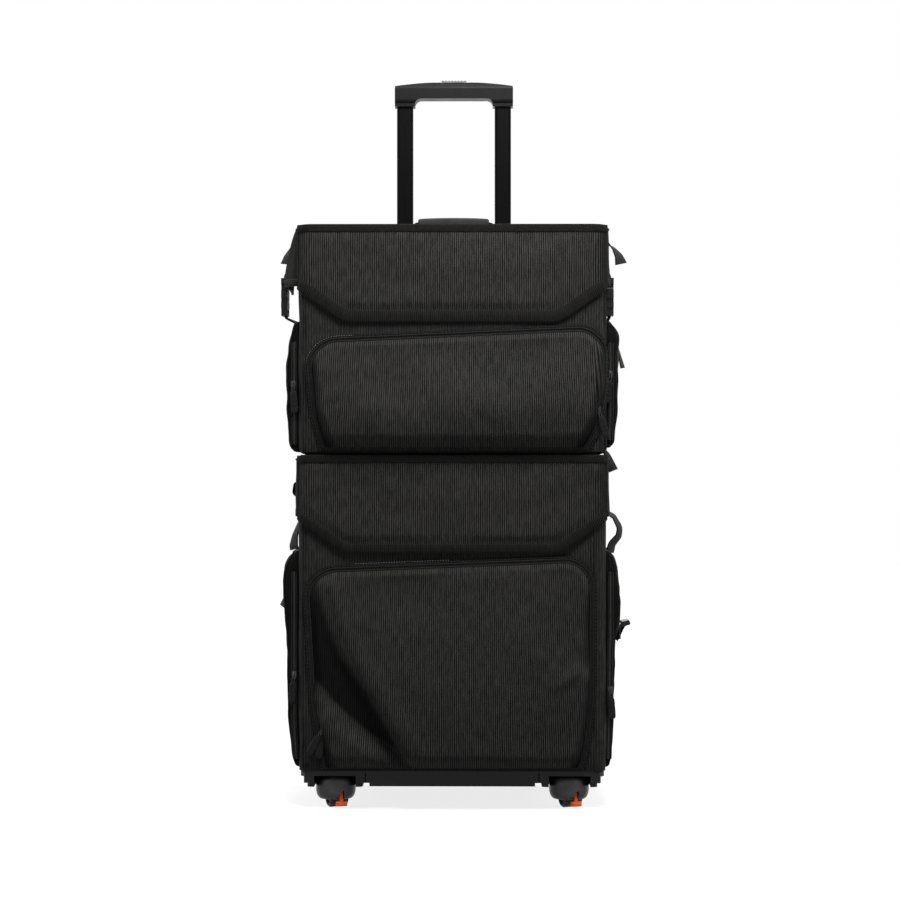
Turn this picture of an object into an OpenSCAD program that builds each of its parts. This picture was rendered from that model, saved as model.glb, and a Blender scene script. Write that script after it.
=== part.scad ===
// Two-tier rolling case: a wheeled lower bag, a lift-off upper bag and a
// two-stage telescopic handle. Millimetres, +Z up, -Y is the front.
// The origin lies on the floor under the middle of the case.

/* [Bags] */
// Width of both bags across their side walls
bag_w = 370; // [350:1:400]
// Depth of the lower bag from its front wall to its back wall
trolley_d = 250; // [240:1:280]
// Height of the lower bag above its base tray
trolley_h = 379; // [360:1:420]
// Height of the upper bag
upper_h = 277; // [265:1:310]
// Depth kept free behind the upper bag for the handle
handle_zone = 45; // [43:1:52]
// Thickness of a padded bag wall
wall_t = 5; // [4:0.5:7]
// Radius of the bags' upright corners
corner_r = 14; // [10:1:18]
// Thickness of the stiff liner inside each bag
liner_t = 2; // [1.5:0.5:3]
// Depth of the fixed strip behind the upper lid
strip_d = 45; // [40:1:55]

/* [Lids] */
// Thickness of a lid panel
lid_t = 6; // [5:0.5:8]
// Thickness of a front drop
drop_t = 4; // [3:0.5:4.5]
// Height of a drop at its middle
drop_h = 115; // [100:1:118]
// Height of a drop and of the side skirts at the front corners
drop_side_h = 71; // [60:1:80]
// Half width of a drop's straight bottom edge
drop_flat = 122; // [100:1:135]
// Width of the binding along a drop's edge
binding_w = 12; // [8:1:16]
// Thickness of a side skirt
skirt_t = 3; // [2:0.5:4]
// How far the upper lid's left skirt leans out
skirt_flare = 14; // [6:1:16]

/* [Front pockets] */
// How far the front pockets stand out
pocket_bulge = 30; // [24:1:32]
// Distance from the upper drop down to the pocket below it
upper_pocket_gap = 19; // [15:1:30]
// Distance from the lower drop down to the pocket below it
lower_pocket_gap = 20; // [15:1:35]
// Half width of a front pocket near its top
pocket_half_w = 177; // [160:1:177]
// Half width of the upper front pocket at its bottom
upper_foot_w = 153; // [145:1:165]
// Half width of the lower front pocket at its bottom
lower_foot_w = 156; // [145:1:165]
// Radius of a front pocket's top corners
pocket_r = 34; // [25:1:40]
// Thickness of the pocket cloth with its foam
pocket_t = 3; // [2:0.5:4]
// Width of the zip tape round a front pocket
zip_w = 7; // [6:0.5:7.5]

/* [Side pockets] */
// How far a side pocket stands out from the side wall
side_bulge = 19; // [16:1:20]
// Length of a side pocket, front to back
side_len = 165; // [140:1:170]
// Distance from the upper bag's top down to its side pockets
upper_side_gap = 124; // [119:1:145]
// Distance from the lower bag's top down to its side pockets
lower_side_gap = 126; // [122:1:160]
// Height of a side pocket's sloped shoulder
side_slope = 28; // [16:1:34]
// How far the lower side pockets are drawn in at their foot
side_draw = 11; // [0:1:13]
// Length of a zip slider's puller
puller_l = 30; // [20:1:36]

/* [Telescopic handle] */
// Width of the slimmest handle tube
tube_w = 21; // [18:0.5:22]
// Depth of the slimmest handle tube
tube_d = 13; // [12:0.5:14]
// Wall of the handle tubes
tube_wall = 1.3; // [1:0.1:1.5]
// Running gap between one tube and the next
tube_gap = 0.5; // [0.4:0.1:0.7]
// Distance between the two legs' centre lines
leg_gap = 126; // [120:1:136]
// Travel of the upper stage out of the lower one
travel_2 = 300; // [270:1:300]
// How far the lower stage is drawn out at rest
drawn_1 = 138; // [120:1:160]
// Height of the grip
grip_h = 32; // [30:1:36]
// Depth of the grip
grip_d = 28; // [24:1:29]
// Stroke of the release button
button_stroke = 3; // [2:0.5:3]
// Radius of a lock rod
rod_r = 2; // [1.5:0.5:2.5]
// Height of the sockets that hold the outer tubes' feet
foot_h = 18; // [14:1:24]
// Length of the plugs inside the slimmest tubes
plug_l = 16; // [14:1:20]

/* [Carry handle] */
// Distance between the carry handle's end brackets
carry_span = 140; // [130:1:160]
// Height of the carry handle's top above the bag
carry_rise = 24; // [22:1:30]
// Width of the webbing
webbing_w = 25; // [20:1:30]
// Free length of a strap's tail
tail_l = 24; // [18:1:28]
// Length of a strap between its seam and the buckle
strap_l = 36; // [30:1:40]
// Thickness of the webbing
webbing_t = 2; // [1.5:0.5:2.5]
// Length of the carry strap's rise beside each bracket
carry_slope = 12.5; // [10:0.5:16]
// How far the carry handle floats in its brackets
carry_lift = 4; // [3:1:5]

/* [Casters and base] */
// Radius of a caster wheel
wheel_r = 13; // [12:0.5:13.5]
// Width of one of the twin wheels
wheel_w = 8; // [7:0.5:8.5]
// Distance of the axle from the swivel axis
trail = 3.5; // [3:0.5:4.5]
// Wall of the round caster hood
hood_wall = 1.8; // [1.4:0.1:2.4]
// Height of the hood's top above the floor
hood_top = 39; // [37:0.5:41]
// Width of the brake lever's toe
toe_w = 14; // [10:1:16]
// Angle to which the casters are turned at rest
caster_turn = 22; // [0:1:40]
// Height of the base tray's rim
rim_h = 15; // [13:1:18]
// Radius of the swivel stem
stem_r = 4; // [3.5:0.5:5]

/* [Hidden] */
$fn = 48;

gap = 0.3;                                  // clearance where pieces fit or move
cut = 1;                                    // how far a cut runs past a face

// Planes that the pieces share
half_w = bag_w / 2;
front_y = (pocket_bulge - trolley_d) / 2;
back_y = front_y + trolley_d;
tray_z = hood_top - 8;
tray_top = tray_z + rim_h;
trolley_top = tray_top + trolley_h;
upper_top = trolley_top + upper_h;
upper_back = back_y - handle_zone;
lower_hinge_y = upper_back - 3;
upper_hinge_y = upper_back - strip_d;
skirt_x = half_w + gap + skirt_t;

// Telescopic handle
tube_r = 4;                                 // corner radius of the slimmest tube
step = tube_gap + tube_wall;
lower_w = tube_w + 2 * step;
lower_d = tube_d + 2 * step;
outer_w = lower_w + 2 * step;
outer_d = lower_d + 2 * step;
tube_y = back_y - handle_zone / 2;
floor_z = tray_top + wall_t;
outer_z0 = floor_z + 3;
outer_z1 = trolley_top - 1;
bezel_top = trolley_top + 3;
collar_h = 6;
lower_z0 = outer_z0 + 4 + drawn_1;
lower_z1 = bezel_top + collar_h - 1.5 + drawn_1;
socket_h = 12;                              // depth to which a leg enters the grip
grip_z = bezel_top + collar_h + 1 + drawn_1 + travel_2;
upper_tube_z0 = lower_z0 + travel_2 + 14;
upper_tube_z1 = grip_z + socket_h;
grip_half = leg_gap / 2 + tube_w / 2 + 2.5;
yoke_h = 4.5;
yoke_z = grip_z + socket_h + 1 + button_stroke + 0.5;

// Casters: the hood's bore clears both wheels
web_t = 5;
hood_in = norm([trail + wheel_r + 0.9, web_t / 2 + 1 + wheel_w]) + 1.4;
hood_r = hood_in + hood_wall;
plate_t = 3;
caster_x = half_w - 44;
caster_front_y = front_y + hood_r + 1;
caster_back_y = back_y - hood_r - 8;
mount_z = tray_z - 5;
mount_top = tray_top - plate_t;
mount_w = 75;
hood_low = wheel_r - 3;                     // lower rim of the hood
axle_r = 2.5;
pin_r = 1.5;
brake_dist = wheel_r + 4;
brake_px = trail + brake_dist * cos(40);
brake_pz = wheel_r + brake_dist * sin(40);

// Pockets
upper_pocket_z = trolley_top + 9;
lower_pocket_z = tray_top + 5;
upper_pocket_h = upper_top - drop_h - upper_pocket_gap - upper_pocket_z;
lower_pocket_h = trolley_top - drop_h - lower_pocket_gap - lower_pocket_z;
side_y = front_y + 14;
upper_side_z = trolley_top + 8;
lower_side_z = tray_top + 3;
upper_side_h = upper_top - upper_side_gap - upper_side_z;
lower_side_h = trolley_top - lower_side_gap - lower_side_z;
side_r = 10;
zip_t = 1.6;

// Straps
strap_y = front_y + 68;                     // front edge of the side straps
buckle_w = webbing_w + 8;
buckle_t = 8;
buckle_l = 25;
socket_top = upper_side_z + upper_side_h + 2 * buckle_l + 14;
strap_end = socket_top + 8;                 // where a lid strap leaves its skirt

// A block with rounded upright corners
module slab(x0, x1, y0, y1, z0, z1, r) {
    translate([0, 0, z0])
        linear_extrude(z1 - z0)
            round_rect(x0, x1, y0, y1, r);
}

module round_rect(x0, x1, y0, y1, r) {
    translate([x0 + r, y0])
        square([x1 - x0 - 2 * r, y1 - y0]);
    translate([x0, y0 + r])
        square([x1 - x0, y1 - y0 - 2 * r]);
    for (x = [x0 + r, x1 - r], y = [y0 + r, y1 - r])
        translate([x, y])
            circle(r);
}

// Runs a drawing in the XZ plane back along +Y from y0
module along_y(y0, l) {
    translate([0, y0 + l, 0])
        rotate([90, 0, 0])
            linear_extrude(l)
                children();
}

// Flat band of thickness t through a list of points, with mitred turns
module band(points, t) {
    n = len(points);
    function way(i) = (points[i + 1] - points[i]) / norm(points[i + 1] - points[i]);
    function side(d) = [-d[1], d[0]];
    function turn(a, b) = (a + b) / (1 + a * b);
    edge = [for (i = [0 : n - 1])
        i == 0 ? side(way(0))
        : i == n - 1 ? side(way(n - 2))
        : turn(side(way(i - 1)), side(way(i)))];
    polygon(concat(
        [for (i = [0 : n - 1]) points[i] + edge[i] * t / 2],
        [for (i = [n - 1 : -1 : 0]) points[i] - edge[i] * t / 2]));
}

// Puts a copy on the left leg and one on the right leg
module both_legs() {
    for (s = [-1, 1])
        translate([s * leg_gap / 2, tube_y, 0])
            children();
}

module oval(w, d, r) {
    round_rect(-w / 2, w / 2, -d / 2, d / 2, r);
}

// Tube of the handle with a shallow groove down its front
module leg(w, d, r, z0, z1) {
    translate([0, 0, z0])
        linear_extrude(z1 - z0)
            difference() {
                oval(w, d, r);
                oval(w - 2 * tube_wall, d - 2 * tube_wall, r - tube_wall);
                translate([-0.6, -d / 2 - cut])
                    square([1.2, cut + 0.5]);
            }
}

// BASE AND CASTERS

module at_casters() {
    for (x = [-caster_x, caster_x], y = [caster_front_y, caster_back_y])
        translate([x, y, 0])
            children();
}

module base_tray() {
    inset = 2;
    rim_t = 3;
    step_in = 6;                                // the pan is narrower than its rim
    x1 = half_w - inset;
    x0 = x1 - step_in;
    y0 = front_y + inset;
    y1 = back_y - inset;
    color("#1b1b1c") difference() {
        union() {
            difference() {
                union() {
                    slab(-x1, x1, y0, y1, tray_z + rim_h / 2, tray_top, corner_r);
                    slab(-x0, x0, y0, y1, tray_z, tray_top - 1, corner_r);
                }
                slab(-x0 + rim_t, x0 - rim_t, y0 + rim_t, y1 - rim_t, tray_z - cut,
                     mount_top, corner_r - rim_t);
            }
            // stiffening ribs under the floor
            for (i = [-2 : 2])
                translate([i * (caster_x - mount_w / 2) / 3 - 1.25, y0 + 1, tray_z + 4])
                    cube([2.5, y1 - y0 - 2, mount_top - tray_z - 3]);
            for (i = [-1 : 1])
                translate([-x0 + 1, (y0 + y1) / 2 + i * 44 - 1.25, tray_z + 4])
                    cube([2 * x0 - 2, 2.5, mount_top - tray_z - 3]);
            // skid runners along the front and back edges
            for (y = [y0, y1 - 12])
                translate([-caster_x + mount_w / 2 + 4, y, tray_z - 4])
                    cube([2 * caster_x - mount_w - 8, 12, 8]);
        }
        // seats of the caster mounts
        for (x = [-caster_x, caster_x])
            for (y = [[y0 - cut, caster_front_y + 35], [caster_back_y - 35, y1 + cut]])
                translate([x - mount_w / 2, y[0], tray_z - 5])
                    cube([mount_w, y[1] - y[0], mount_top - tray_z + 5]);
    }
}

module caster_mounts() {
    color("#202022") for (x = [-caster_x, caster_x]) {
        mount_block(x, front_y + 2, caster_front_y + 35, caster_front_y, -1);
        mount_block(x, caster_back_y - 35, back_y - 2, caster_back_y, 1);
    }
}

// One mount: a block with stepped cheeks either side of the hood's recess
module mount_block(x, y0, y1, axis_y, side) {
    recess = hood_r + 1;
    roof = hood_top + gap;
    difference() {
        union() {
            slab(x - mount_w / 2, x + mount_w / 2, y0, y1, mount_z + 5, mount_top, 3);
            slab(x - mount_w / 2 + 4, x + mount_w / 2 - 4, y0 + 2, y1 - 2, mount_z,
                 mount_z + 6, 6);
        }
        translate([x, axis_y, mount_z - cut])
            cylinder(r = recess, h = roof - mount_z + cut);
        translate([x - recess, side < 0 ? y0 - cut : axis_y, mount_z - cut])
            cube([2 * recess, side < 0 ? axis_y - y0 + cut : y1 - axis_y + cut,
                  roof - mount_z + cut]);
        translate([x, axis_y, roof - cut])
            cylinder(r = stem_r + gap, h = mount_top - roof + 2 * cut);
        translate([x, axis_y, mount_top - 2.2])
            cylinder(r = stem_r + 2.5 + gap, h = 2.2 + cut);
    }
}

// Sets a caster part at its place, turned to its rest angle
module caster_at(x, y) {
    translate([x, y, 0])
        rotate([0, 0, caster_turn - 90])
            children();
}

// Half outline of the hood, drawn in by c: a drawn-in foot, a straight wall and a dome
module hood_half(c) {
    foot = 6.5;
    dome = 9;
    polygon(concat(
        [[0, hood_low - (c > 0 ? cut : 0)]],
        [for (a = [90 : -15 : 0])
            [hood_r - c - foot + foot * cos(a), hood_low + 12 - 12 * sin(a)]],
        [for (a = [0 : 15 : 90])
            [hood_r - c - dome + dome * cos(a), hood_top - c - dome + dome * sin(a)]],
        [[0, hood_top - c]]));
}

module caster_hood() {
    well_w = wheel_w + 1;
    slot_x = trail + axle_r + 3.2;
    difference() {
        union() {
            rotate_extrude()
                hood_half(0);
            // web with the boss that carries the axle
            along_y(-web_t / 2, web_t)
                translate([trail, wheel_r])
                    circle(axle_r + 3);
            cylinder(r = stem_r, h = mount_top - 0.4);
            translate([0, 0, mount_top - 1.9])
                cylinder(r = stem_r + 2.5, h = 1.5);
        }
        // wheel wells either side of the web, open at the rim
        for (s = [-1, 1])
            intersection() {
                translate([trail, s * (web_t / 2 + well_w / 2), wheel_r])
                    rotate([90, 0, 0])
                        cylinder(r = wheel_r + 1, h = well_w, center = true);
                union() {
                    rotate_extrude()
                        hood_half(hood_wall);
                    translate([-hood_r, -hood_r, -cut])
                        cube([2 * hood_r, 2 * hood_r, wheel_r + cut]);
                }
            }
        translate([trail, 0, wheel_r])
            rotate([90, 0, 0])
                cylinder(r = axle_r + gap, h = web_t + 2 * cut, center = true);
        // slot of the brake lever, through the wall as high as it swings, and its pin's hole
        intersection() {
            translate([slot_x, -web_t / 2, 0])
                cube([hood_r, web_t, brake_pz + 3.6]);
            union() {
                rotate_extrude()
                    hood_half(hood_wall);
                translate([0, -web_t / 2, -cut])
                    cube([2 * hood_r, web_t, wheel_r + 8 + cut]);
            }
        }
        translate([brake_px, 0, brake_pz])
            rotate([90, 0, 0])
                cylinder(r = pin_r + gap, h = web_t + 8, center = true, $fn = 24);
    }
}

module caster_wheels() {
    rotate([90, 0, 0]) {
        for (s = [0, 180])
            rotate([0, s, 0])
                translate([0, 0, web_t / 2 + 0.5])
                    rotate_extrude()
                        polygon([
                            [axle_r + 0.1, 0], [wheel_r - 1, 0], [wheel_r, 1.2],
                            [wheel_r, wheel_w - 1.8], [wheel_r - 1.4, wheel_w],
                            [wheel_r - 4, wheel_w], [wheel_r - 5, wheel_w - 2],
                            [6, wheel_w - 2], [5, wheel_w - 0.6], [axle_r + 0.1, wheel_w - 0.6]
                        ]);
        cylinder(r = axle_r, h = web_t + 1 + 2 * (wheel_w - 0.6), center = true);
    }
}

// Lever on a pin in the hood; its toe comes out under the rim
module caster_brake() {
    lever_t = web_t - 1;
    toe_x = trail + wheel_r + 2.5;              // back of the toe, clear of the wheels
    top = hood_low - 1.3;
    along_y(-lever_t / 2, lever_t) {
        translate([brake_px, brake_pz])
            circle(3);
        polygon([
            [brake_px - 2.8, brake_pz - 1], [brake_px + 2.8, brake_pz + 1],
            [toe_x + 1, wheel_r + 4], [toe_x + 1.4, hood_low + 2], [toe_x + 3, top],
            [toe_x + 4, 4], [toe_x + 1, 3.6], [brake_px, hood_low + 2]
        ]);
    }
    translate([brake_px, 0, brake_pz])
        rotate([90, 0, 0])
            cylinder(r = pin_r, h = web_t + 7, center = true, $fn = 24);
    // wide toe, rounded towards its tip
    intersection() {
        along_y(-toe_w / 2, toe_w)
            polygon([
                [toe_x, 3.2], [toe_x + 5.6, 3], [toe_x + 6.8, 4.2], [toe_x + 6.4, 6],
                [toe_x + 4, top - 0.4], [toe_x + 1.8, top]
            ]);
        linear_extrude(hood_low)
            round_rect(toe_x - 6, toe_x + 7, -toe_w / 2, toe_w / 2, 5);
    }
}

module hood_node(x, y) {
    color("#19191a") caster_at(x, y) caster_hood();
}

module wheels_node(x, y) {
    color("#2a2a2b") caster_at(x, y) translate([trail, 0, wheel_r]) caster_wheels();
}

module brake_node(x, y) {
    color("#e4571a") caster_at(x, y) caster_brake();
}

// BAG BODIES

// Walls, floor and fixed top strip of a bag; the lid lies in front of the strip
module bag_shell(y1, z0, z1, hinge_y) {
    difference() {
        slab(-half_w, half_w, front_y, y1, z0, z1, corner_r);
        slab(-half_w + wall_t, half_w - wall_t, front_y + wall_t, y1 - wall_t,
             z0 + wall_t, z1 - lid_t, corner_r - wall_t);
        translate([-half_w - cut, front_y - cut, z1 - lid_t])
            cube([bag_w + 2 * cut, hinge_y + gap - front_y + cut, lid_t + cut]);
    }
}

// Stiff tray-shaped board that lines a bag
module bag_liner(y1, z0, z1) {
    x1 = half_w - wall_t - gap;
    y0 = front_y + wall_t + gap;
    r = corner_r - wall_t;
    difference() {
        slab(-x1, x1, y0, y1, z0, z1, r);
        slab(-x1 + liner_t, x1 - liner_t, y0 + liner_t, y1 - liner_t, z0 + liner_t,
             z1 + cut, r - liner_t);
    }
}

module lower_shell() {
    color("#2b2b2d") difference() {
        bag_shell(back_y, tray_top, trolley_top, lower_hinge_y);
        bezel_block(gap, trolley_top - lid_t - cut, trolley_top + cut);
    }
}

module lower_liner() {
    color("#3a3a3c")
        bag_liner(tube_y - outer_d / 2 - 2, floor_z, trolley_top - 45);
}

module upper_shell() {
    color("#2d2d2f")
        bag_shell(upper_back, trolley_top, upper_top, upper_hinge_y);
}

module upper_liner() {
    color("#3c3c3e")
        bag_liner(upper_back - wall_t - gap, trolley_top + wall_t, upper_top - 45);
}

// TELESCOPIC HANDLE

module bezel_block(c, z0, z1) {
    x1 = leg_gap / 2 + outer_w / 2 + 10 + c;
    y0 = tube_y - outer_d / 2 - 6 - c;
    slab(-x1, x1, y0, 2 * tube_y - y0, z0, z1, 6 + c);
}

module handle_bezel() {
    x1 = leg_gap / 2 + outer_w / 2 + 15;
    y1 = handle_zone / 2 - 2;
    color("#151516") difference() {
        union() {
            slab(-x1, x1, tube_y - y1, tube_y + y1, trolley_top, bezel_top, 9);
            bezel_block(0, trolley_top - 12, trolley_top);
        }
        both_legs() {
            translate([0, 0, trolley_top - 12 - cut])
                linear_extrude(12 - 1 + cut)
                    oval(outer_w + 2 * gap, outer_d + 2 * gap, tube_r + 2 * step + gap);
            translate([0, 0, trolley_top - 2])
                linear_extrude(8)
                    oval(lower_w + 2 * gap, lower_d + 2 * gap, tube_r + step + gap);
        }
        // shallow finger well between the legs
        slab(-leg_gap / 2 + outer_w / 2 + 6, leg_gap / 2 - outer_w / 2 - 6, tube_y - 13,
             tube_y + 13, trolley_top - 6, bezel_top + cut, 8);
    }
}

module outer_tubes() {
    color("#8d8f92") both_legs()
        leg(outer_w, outer_d, tube_r + 2 * step, outer_z0, outer_z1);
}

module tube_foot() {
    x1 = leg_gap / 2 + outer_w / 2 + 5;
    y1 = outer_d / 2 + 1.5;
    color("#1d1d1e") difference() {
        union() {
            slab(-x1, x1, tube_y - y1, tube_y + y1, floor_z, floor_z + 5, 4);
            both_legs()
                slab(-outer_w / 2 - 4, outer_w / 2 + 4, -y1, y1, floor_z, floor_z + foot_h, 4);
        }
        both_legs()
            translate([0, 0, outer_z0])
                linear_extrude(30)
                    oval(outer_w + 2 * gap, outer_d + 2 * gap, tube_r + 2 * step + gap);
    }
}

module lower_tube() {
    color("#8a8c90") both_legs()
        leg(lower_w, lower_d, tube_r + step, lower_z0, lower_z1);
}

module lower_tube_fittings() {
    collar_z = bezel_top + drawn_1;
    color("#161617") both_legs() {
        // collar at the mouth
        translate([0, 0, collar_z])
            difference() {
                linear_extrude(collar_h)
                    oval(lower_w + 4, lower_d + 4, tube_r + step + 2);
                translate([0, 0, -cut])
                    linear_extrude(collar_h - 1.5 + cut)
                        oval(lower_w + 2 * gap, lower_d + 2 * gap, tube_r + step + gap);
                translate([0, 0, -cut])
                    linear_extrude(collar_h + 2 * cut)
                        oval(tube_w + 2 * gap, tube_d + 2 * gap, tube_r + gap);
            }
        // end plug at the bottom
        translate([0, 0, lower_z0 - 3])
            linear_extrude(3)
                oval(lower_w, lower_d, tube_r + step);
        translate([0, 0, lower_z0 - 1])
            linear_extrude(9)
                oval(lower_w - 2 * tube_wall - 2 * gap, lower_d - 2 * tube_wall - 2 * gap,
                     tube_r + step - tube_wall);
    }
}

module upper_tube() {
    color("#2c2c2e") both_legs()
        leg(tube_w, tube_d, tube_r, upper_tube_z0, upper_tube_z1);
}

module upper_tube_plugs() {
    color("#161617") both_legs() {
        translate([0, 0, upper_tube_z0 - 5])
            linear_extrude(5)
                oval(tube_w, tube_d, tube_r);
        difference() {
            translate([0, 0, upper_tube_z0 - 1])
                linear_extrude(plug_l)
                    oval(tube_w - 2 * tube_wall - 2 * gap, tube_d - 2 * tube_wall - 2 * gap,
                         tube_r - tube_wall);
            // bore that the rod's foot enters
            translate([0, 0, upper_tube_z0 + 6])
                cylinder(r = rod_r + gap, h = plug_l, $fn = 24);
        }
    }
}

// Outline of the grip from the front: arched bar with a leg at each end
module grip_outline() {
    fall = 6;
    arch_r = (grip_half * grip_half + fall * fall) / (2 * fall);
    window_x = leg_gap / 2 - tube_w / 2 - 2.5;
    window_h = grip_h - 22;
    difference() {
        intersection() {
            translate([0, grip_h - arch_r])
                circle(arch_r, $fn = 720);
            union() {
                round_rect(-grip_half, grip_half, 0, grip_h + 8, 18);
                translate([-grip_half, 0])
                    square([2 * grip_half, 20]);
            }
        }
        translate([-window_x, -cut])
            square([2 * window_x, window_h + cut - 8]);
        translate([-window_x + 8, -cut])
            square([2 * window_x - 16, window_h + cut]);
        for (s = [-1, 1])
            translate([s * (window_x - 8), window_h - 8])
                circle(8);
    }
}

// Whole grip before it is split, rounded across its depth
module grip_solid() {
    intersection() {
        along_y(-grip_d / 2, grip_d)
            grip_outline();
        rotate([90, 0, 90])
            translate([0, 0, -grip_half - cut])
                linear_extrude(2 * grip_half + 2 * cut) {
                    round_rect(-grip_d / 2, grip_d / 2, 0, grip_h, 9);
                    translate([-grip_d / 2 + 1.5, 0])
                        square([grip_d - 3, 12]);
                }
    }
}

module grip_cavity() {
    x1 = leg_gap / 2 + 3;
    for (s = [-1, 1])
        translate([s * leg_gap / 2, 0, 0]) {
            translate([0, 0, -cut])
                linear_extrude(socket_h + cut)
                    oval(tube_w + 2 * gap, tube_d + 2 * gap, tube_r + gap);
            translate([0, 0, socket_h - cut])
                cylinder(r = rod_r + gap, h = 4);
        }
    // channel of the yoke
    translate([-x1 - gap, -3 - gap, socket_h + 1])
        cube([2 * x1 + 2 * gap, 6 + 2 * gap, yoke_h + button_stroke + 0.5 + gap]);
    // well of the button
    translate([-18 - gap, -5.5 - gap, socket_h + 1])
        cube([36 + 2 * gap, 11 + 2 * gap, yoke_h + button_stroke + 3.5 + gap]);
    translate([-16 - gap, -5.5 - gap, socket_h + 1])
        cube([32 + 2 * gap, 11 + 2 * gap, grip_h]);
}

screw_x = 36;
screw_z = grip_h - 5.5;

module grip_body() {
    color("#141415") translate([0, tube_y, grip_z]) difference() {
        intersection() {
            grip_solid();
            translate([-grip_half - cut, -grip_d, -cut])
                cube([2 * grip_half + 2 * cut, grip_d, grip_h + 9]);
        }
        grip_cavity();
        for (s = [-1, 1])
            translate([s * screw_x, 1, screw_z])
                rotate([90, 0, 0])
                    cylinder(r = 1.5 + gap, h = 7, $fn = 24);
    }
}

module grip_cover() {
    color("#171718") translate([0, tube_y, grip_z]) difference() {
        intersection() {
            grip_solid();
            translate([-grip_half - cut, 0, -cut])
                cube([2 * grip_half + 2 * cut, grip_d, grip_h + 9]);
        }
        grip_cavity();
        for (s = [-1, 1])
            translate([s * screw_x, 0, screw_z]) {
                translate([0, grip_d, 0])
                    rotate([90, 0, 0])
                        cylinder(r = 1.5 + gap, h = 2 * grip_d, $fn = 24);
                translate([0, grip_d, 0])
                    rotate([90, 0, 0])
                        cylinder(r = 2.8 + gap, h = grip_d - 7, $fn = 24);
            }
    }
}

module grip_screws() {
    color("#77797c") translate([0, tube_y, grip_z])
        for (s = [-1, 1])
            translate([s * screw_x, 0, screw_z]) {
                translate([0, 7, 0])
                    rotate([90, 0, 0])
                        cylinder(r = 1.5, h = 12.5, $fn = 24);
                translate([0, 9, 0])
                    rotate([90, 0, 0])
                        difference() {
                            cylinder(r = 2.8, h = 2, $fn = 24);
                            translate([-0.4, -2, -cut])
                                cube([0.8, 4, 1.8]);
                        }
            }
}

module release_button() {
    z0 = yoke_z + yoke_h;
    color("#6e7074") translate([0, tube_y, 0]) {
        translate([-18, -5.5, z0])
            cube([36, 11, 2.7]);
        difference() {
            translate([0, 0, z0 + 2])
                slab(-16, 16, -5.5, 5.5, 0, grip_z + grip_h + 2 - z0 - 2, 3);
            // finger grooves across the top
            for (i = [-3 : 3])
                translate([i * 4 - 0.6, -6, grip_z + grip_h + 1.3])
                    cube([1.2, 12, 2]);
        }
    }
}

module lock_rods() {
    color("#9a9ca0") translate([0, tube_y, 0]) {
        translate([-leg_gap / 2 - 3, -3, yoke_z])
            cube([leg_gap + 6, 6, yoke_h]);
        for (s = [-1, 1])
            translate([s * leg_gap / 2, 0, upper_tube_z0 + 7 + button_stroke])
                cylinder(r = rod_r, h = yoke_z + 1 - upper_tube_z0 - 7 - button_stroke, $fn = 24);
    }
}

// FRONT POCKETS AND ZIPS

// Where a side that rises from the foot meets the round top corner
function side_turn(half, foot, h, r) =
    let (c = [half - r, h - r], d = [foot, 0] - c, a = atan2(d[1], d[0]) + acos(r / norm(d)))
    c + r * [cos(a), sin(a)];

// Pocket outline from the front: round top corners, sides drawn in to the foot
module pocket_shape(half, foot, h, r) {
    t = side_turn(half, foot, h, r);
    polygon([
        [-foot, 0], [foot, 0], t, [half - r, h], [-half + r, h], [-t[0], t[1]]
    ]);
    for (s = [-1, 1])
        translate([s * (half - r), h - r])
            circle(r, $fn = 32);
}

// Pillow-like body of a pocket, drawn in towards its front
module pocket_pillow(half, foot, h, r, depth) {
    hull() {
        along_y(-0.5, 0.5)
            pocket_shape(half, foot, h, r);
        along_y(-depth * 0.55, 0.5)
            translate([0, 2])
                pocket_shape(half - 5, foot - 3, h - 5, r - 3);
        along_y(-depth * 0.88, 0.5)
            translate([0, 8])
                pocket_shape(half - 18, foot - 12, h - 20, r - 8);
        along_y(-depth, 0.5)
            translate([0, 20])
                pocket_shape(half - 42, foot - 34, h - 50, r - 12);
    }
}

module front_pocket(z0, h, foot) {
    t = pocket_t;
    translate([0, front_y - gap, z0])
        difference() {
            pocket_pillow(pocket_half_w, foot, h, pocket_r, pocket_bulge - gap);
            translate([0, 0.6, t])
                pocket_pillow(pocket_half_w - t, foot - t, h - 2 * t, pocket_r - t,
                              pocket_bulge - gap - t + 0.6);
        }
}

// Zip tape on the front wall round three sides of a pocket
module front_zip(z0, h, foot) {
    translate([0, 0, z0])
        along_y(front_y - zip_t, zip_t)
            difference() {
                pocket_shape(pocket_half_w + zip_w, foot + zip_w, h + zip_w, pocket_r + zip_w);
                translate([0, -gap])
                    pocket_shape(pocket_half_w + gap, foot + gap, h + 2 * gap, pocket_r + gap);
            }
}

module upper_front_zip() {
    color("#101011") front_zip(upper_pocket_z, upper_pocket_h, upper_foot_w);
}

module lower_front_zip() {
    color("#101011") front_zip(lower_pocket_z, lower_pocket_h, lower_foot_w);
}

module upper_pocket() {
    color("#343437") front_pocket(upper_pocket_z, upper_pocket_h, upper_foot_w);
}

module lower_pocket() {
    color("#333336") front_pocket(lower_pocket_z, lower_pocket_h, lower_foot_w);
}

// Slider with a hanging puller, drawn with its back at y = 0
module zip_slider() {
    along_y(-3, 3)
        difference() {
            polygon([[-2.4, -6], [2.4, -6], [2.9, 4], [1.4, 6], [-1.4, 6], [-2.9, 4]]);
            translate([0, 3])
                circle(0.8, $fn = 16);
        }
    along_y(-4.2, 1.2)
        difference() {
            union() {
                translate([-2.4, -6 - puller_l])
                    square([4.8, puller_l + 4]);
                translate([0, -2])
                    circle(2.4, $fn = 24);
            }
            translate([0, -3])
                circle(1, $fn = 16);
        }
}

module side_slider(s, z) {
    color("#4a4a4c") translate([s * (half_w + side_bulge - side_r - 3.4), side_y - gap, z])
        zip_slider();
}

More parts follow.
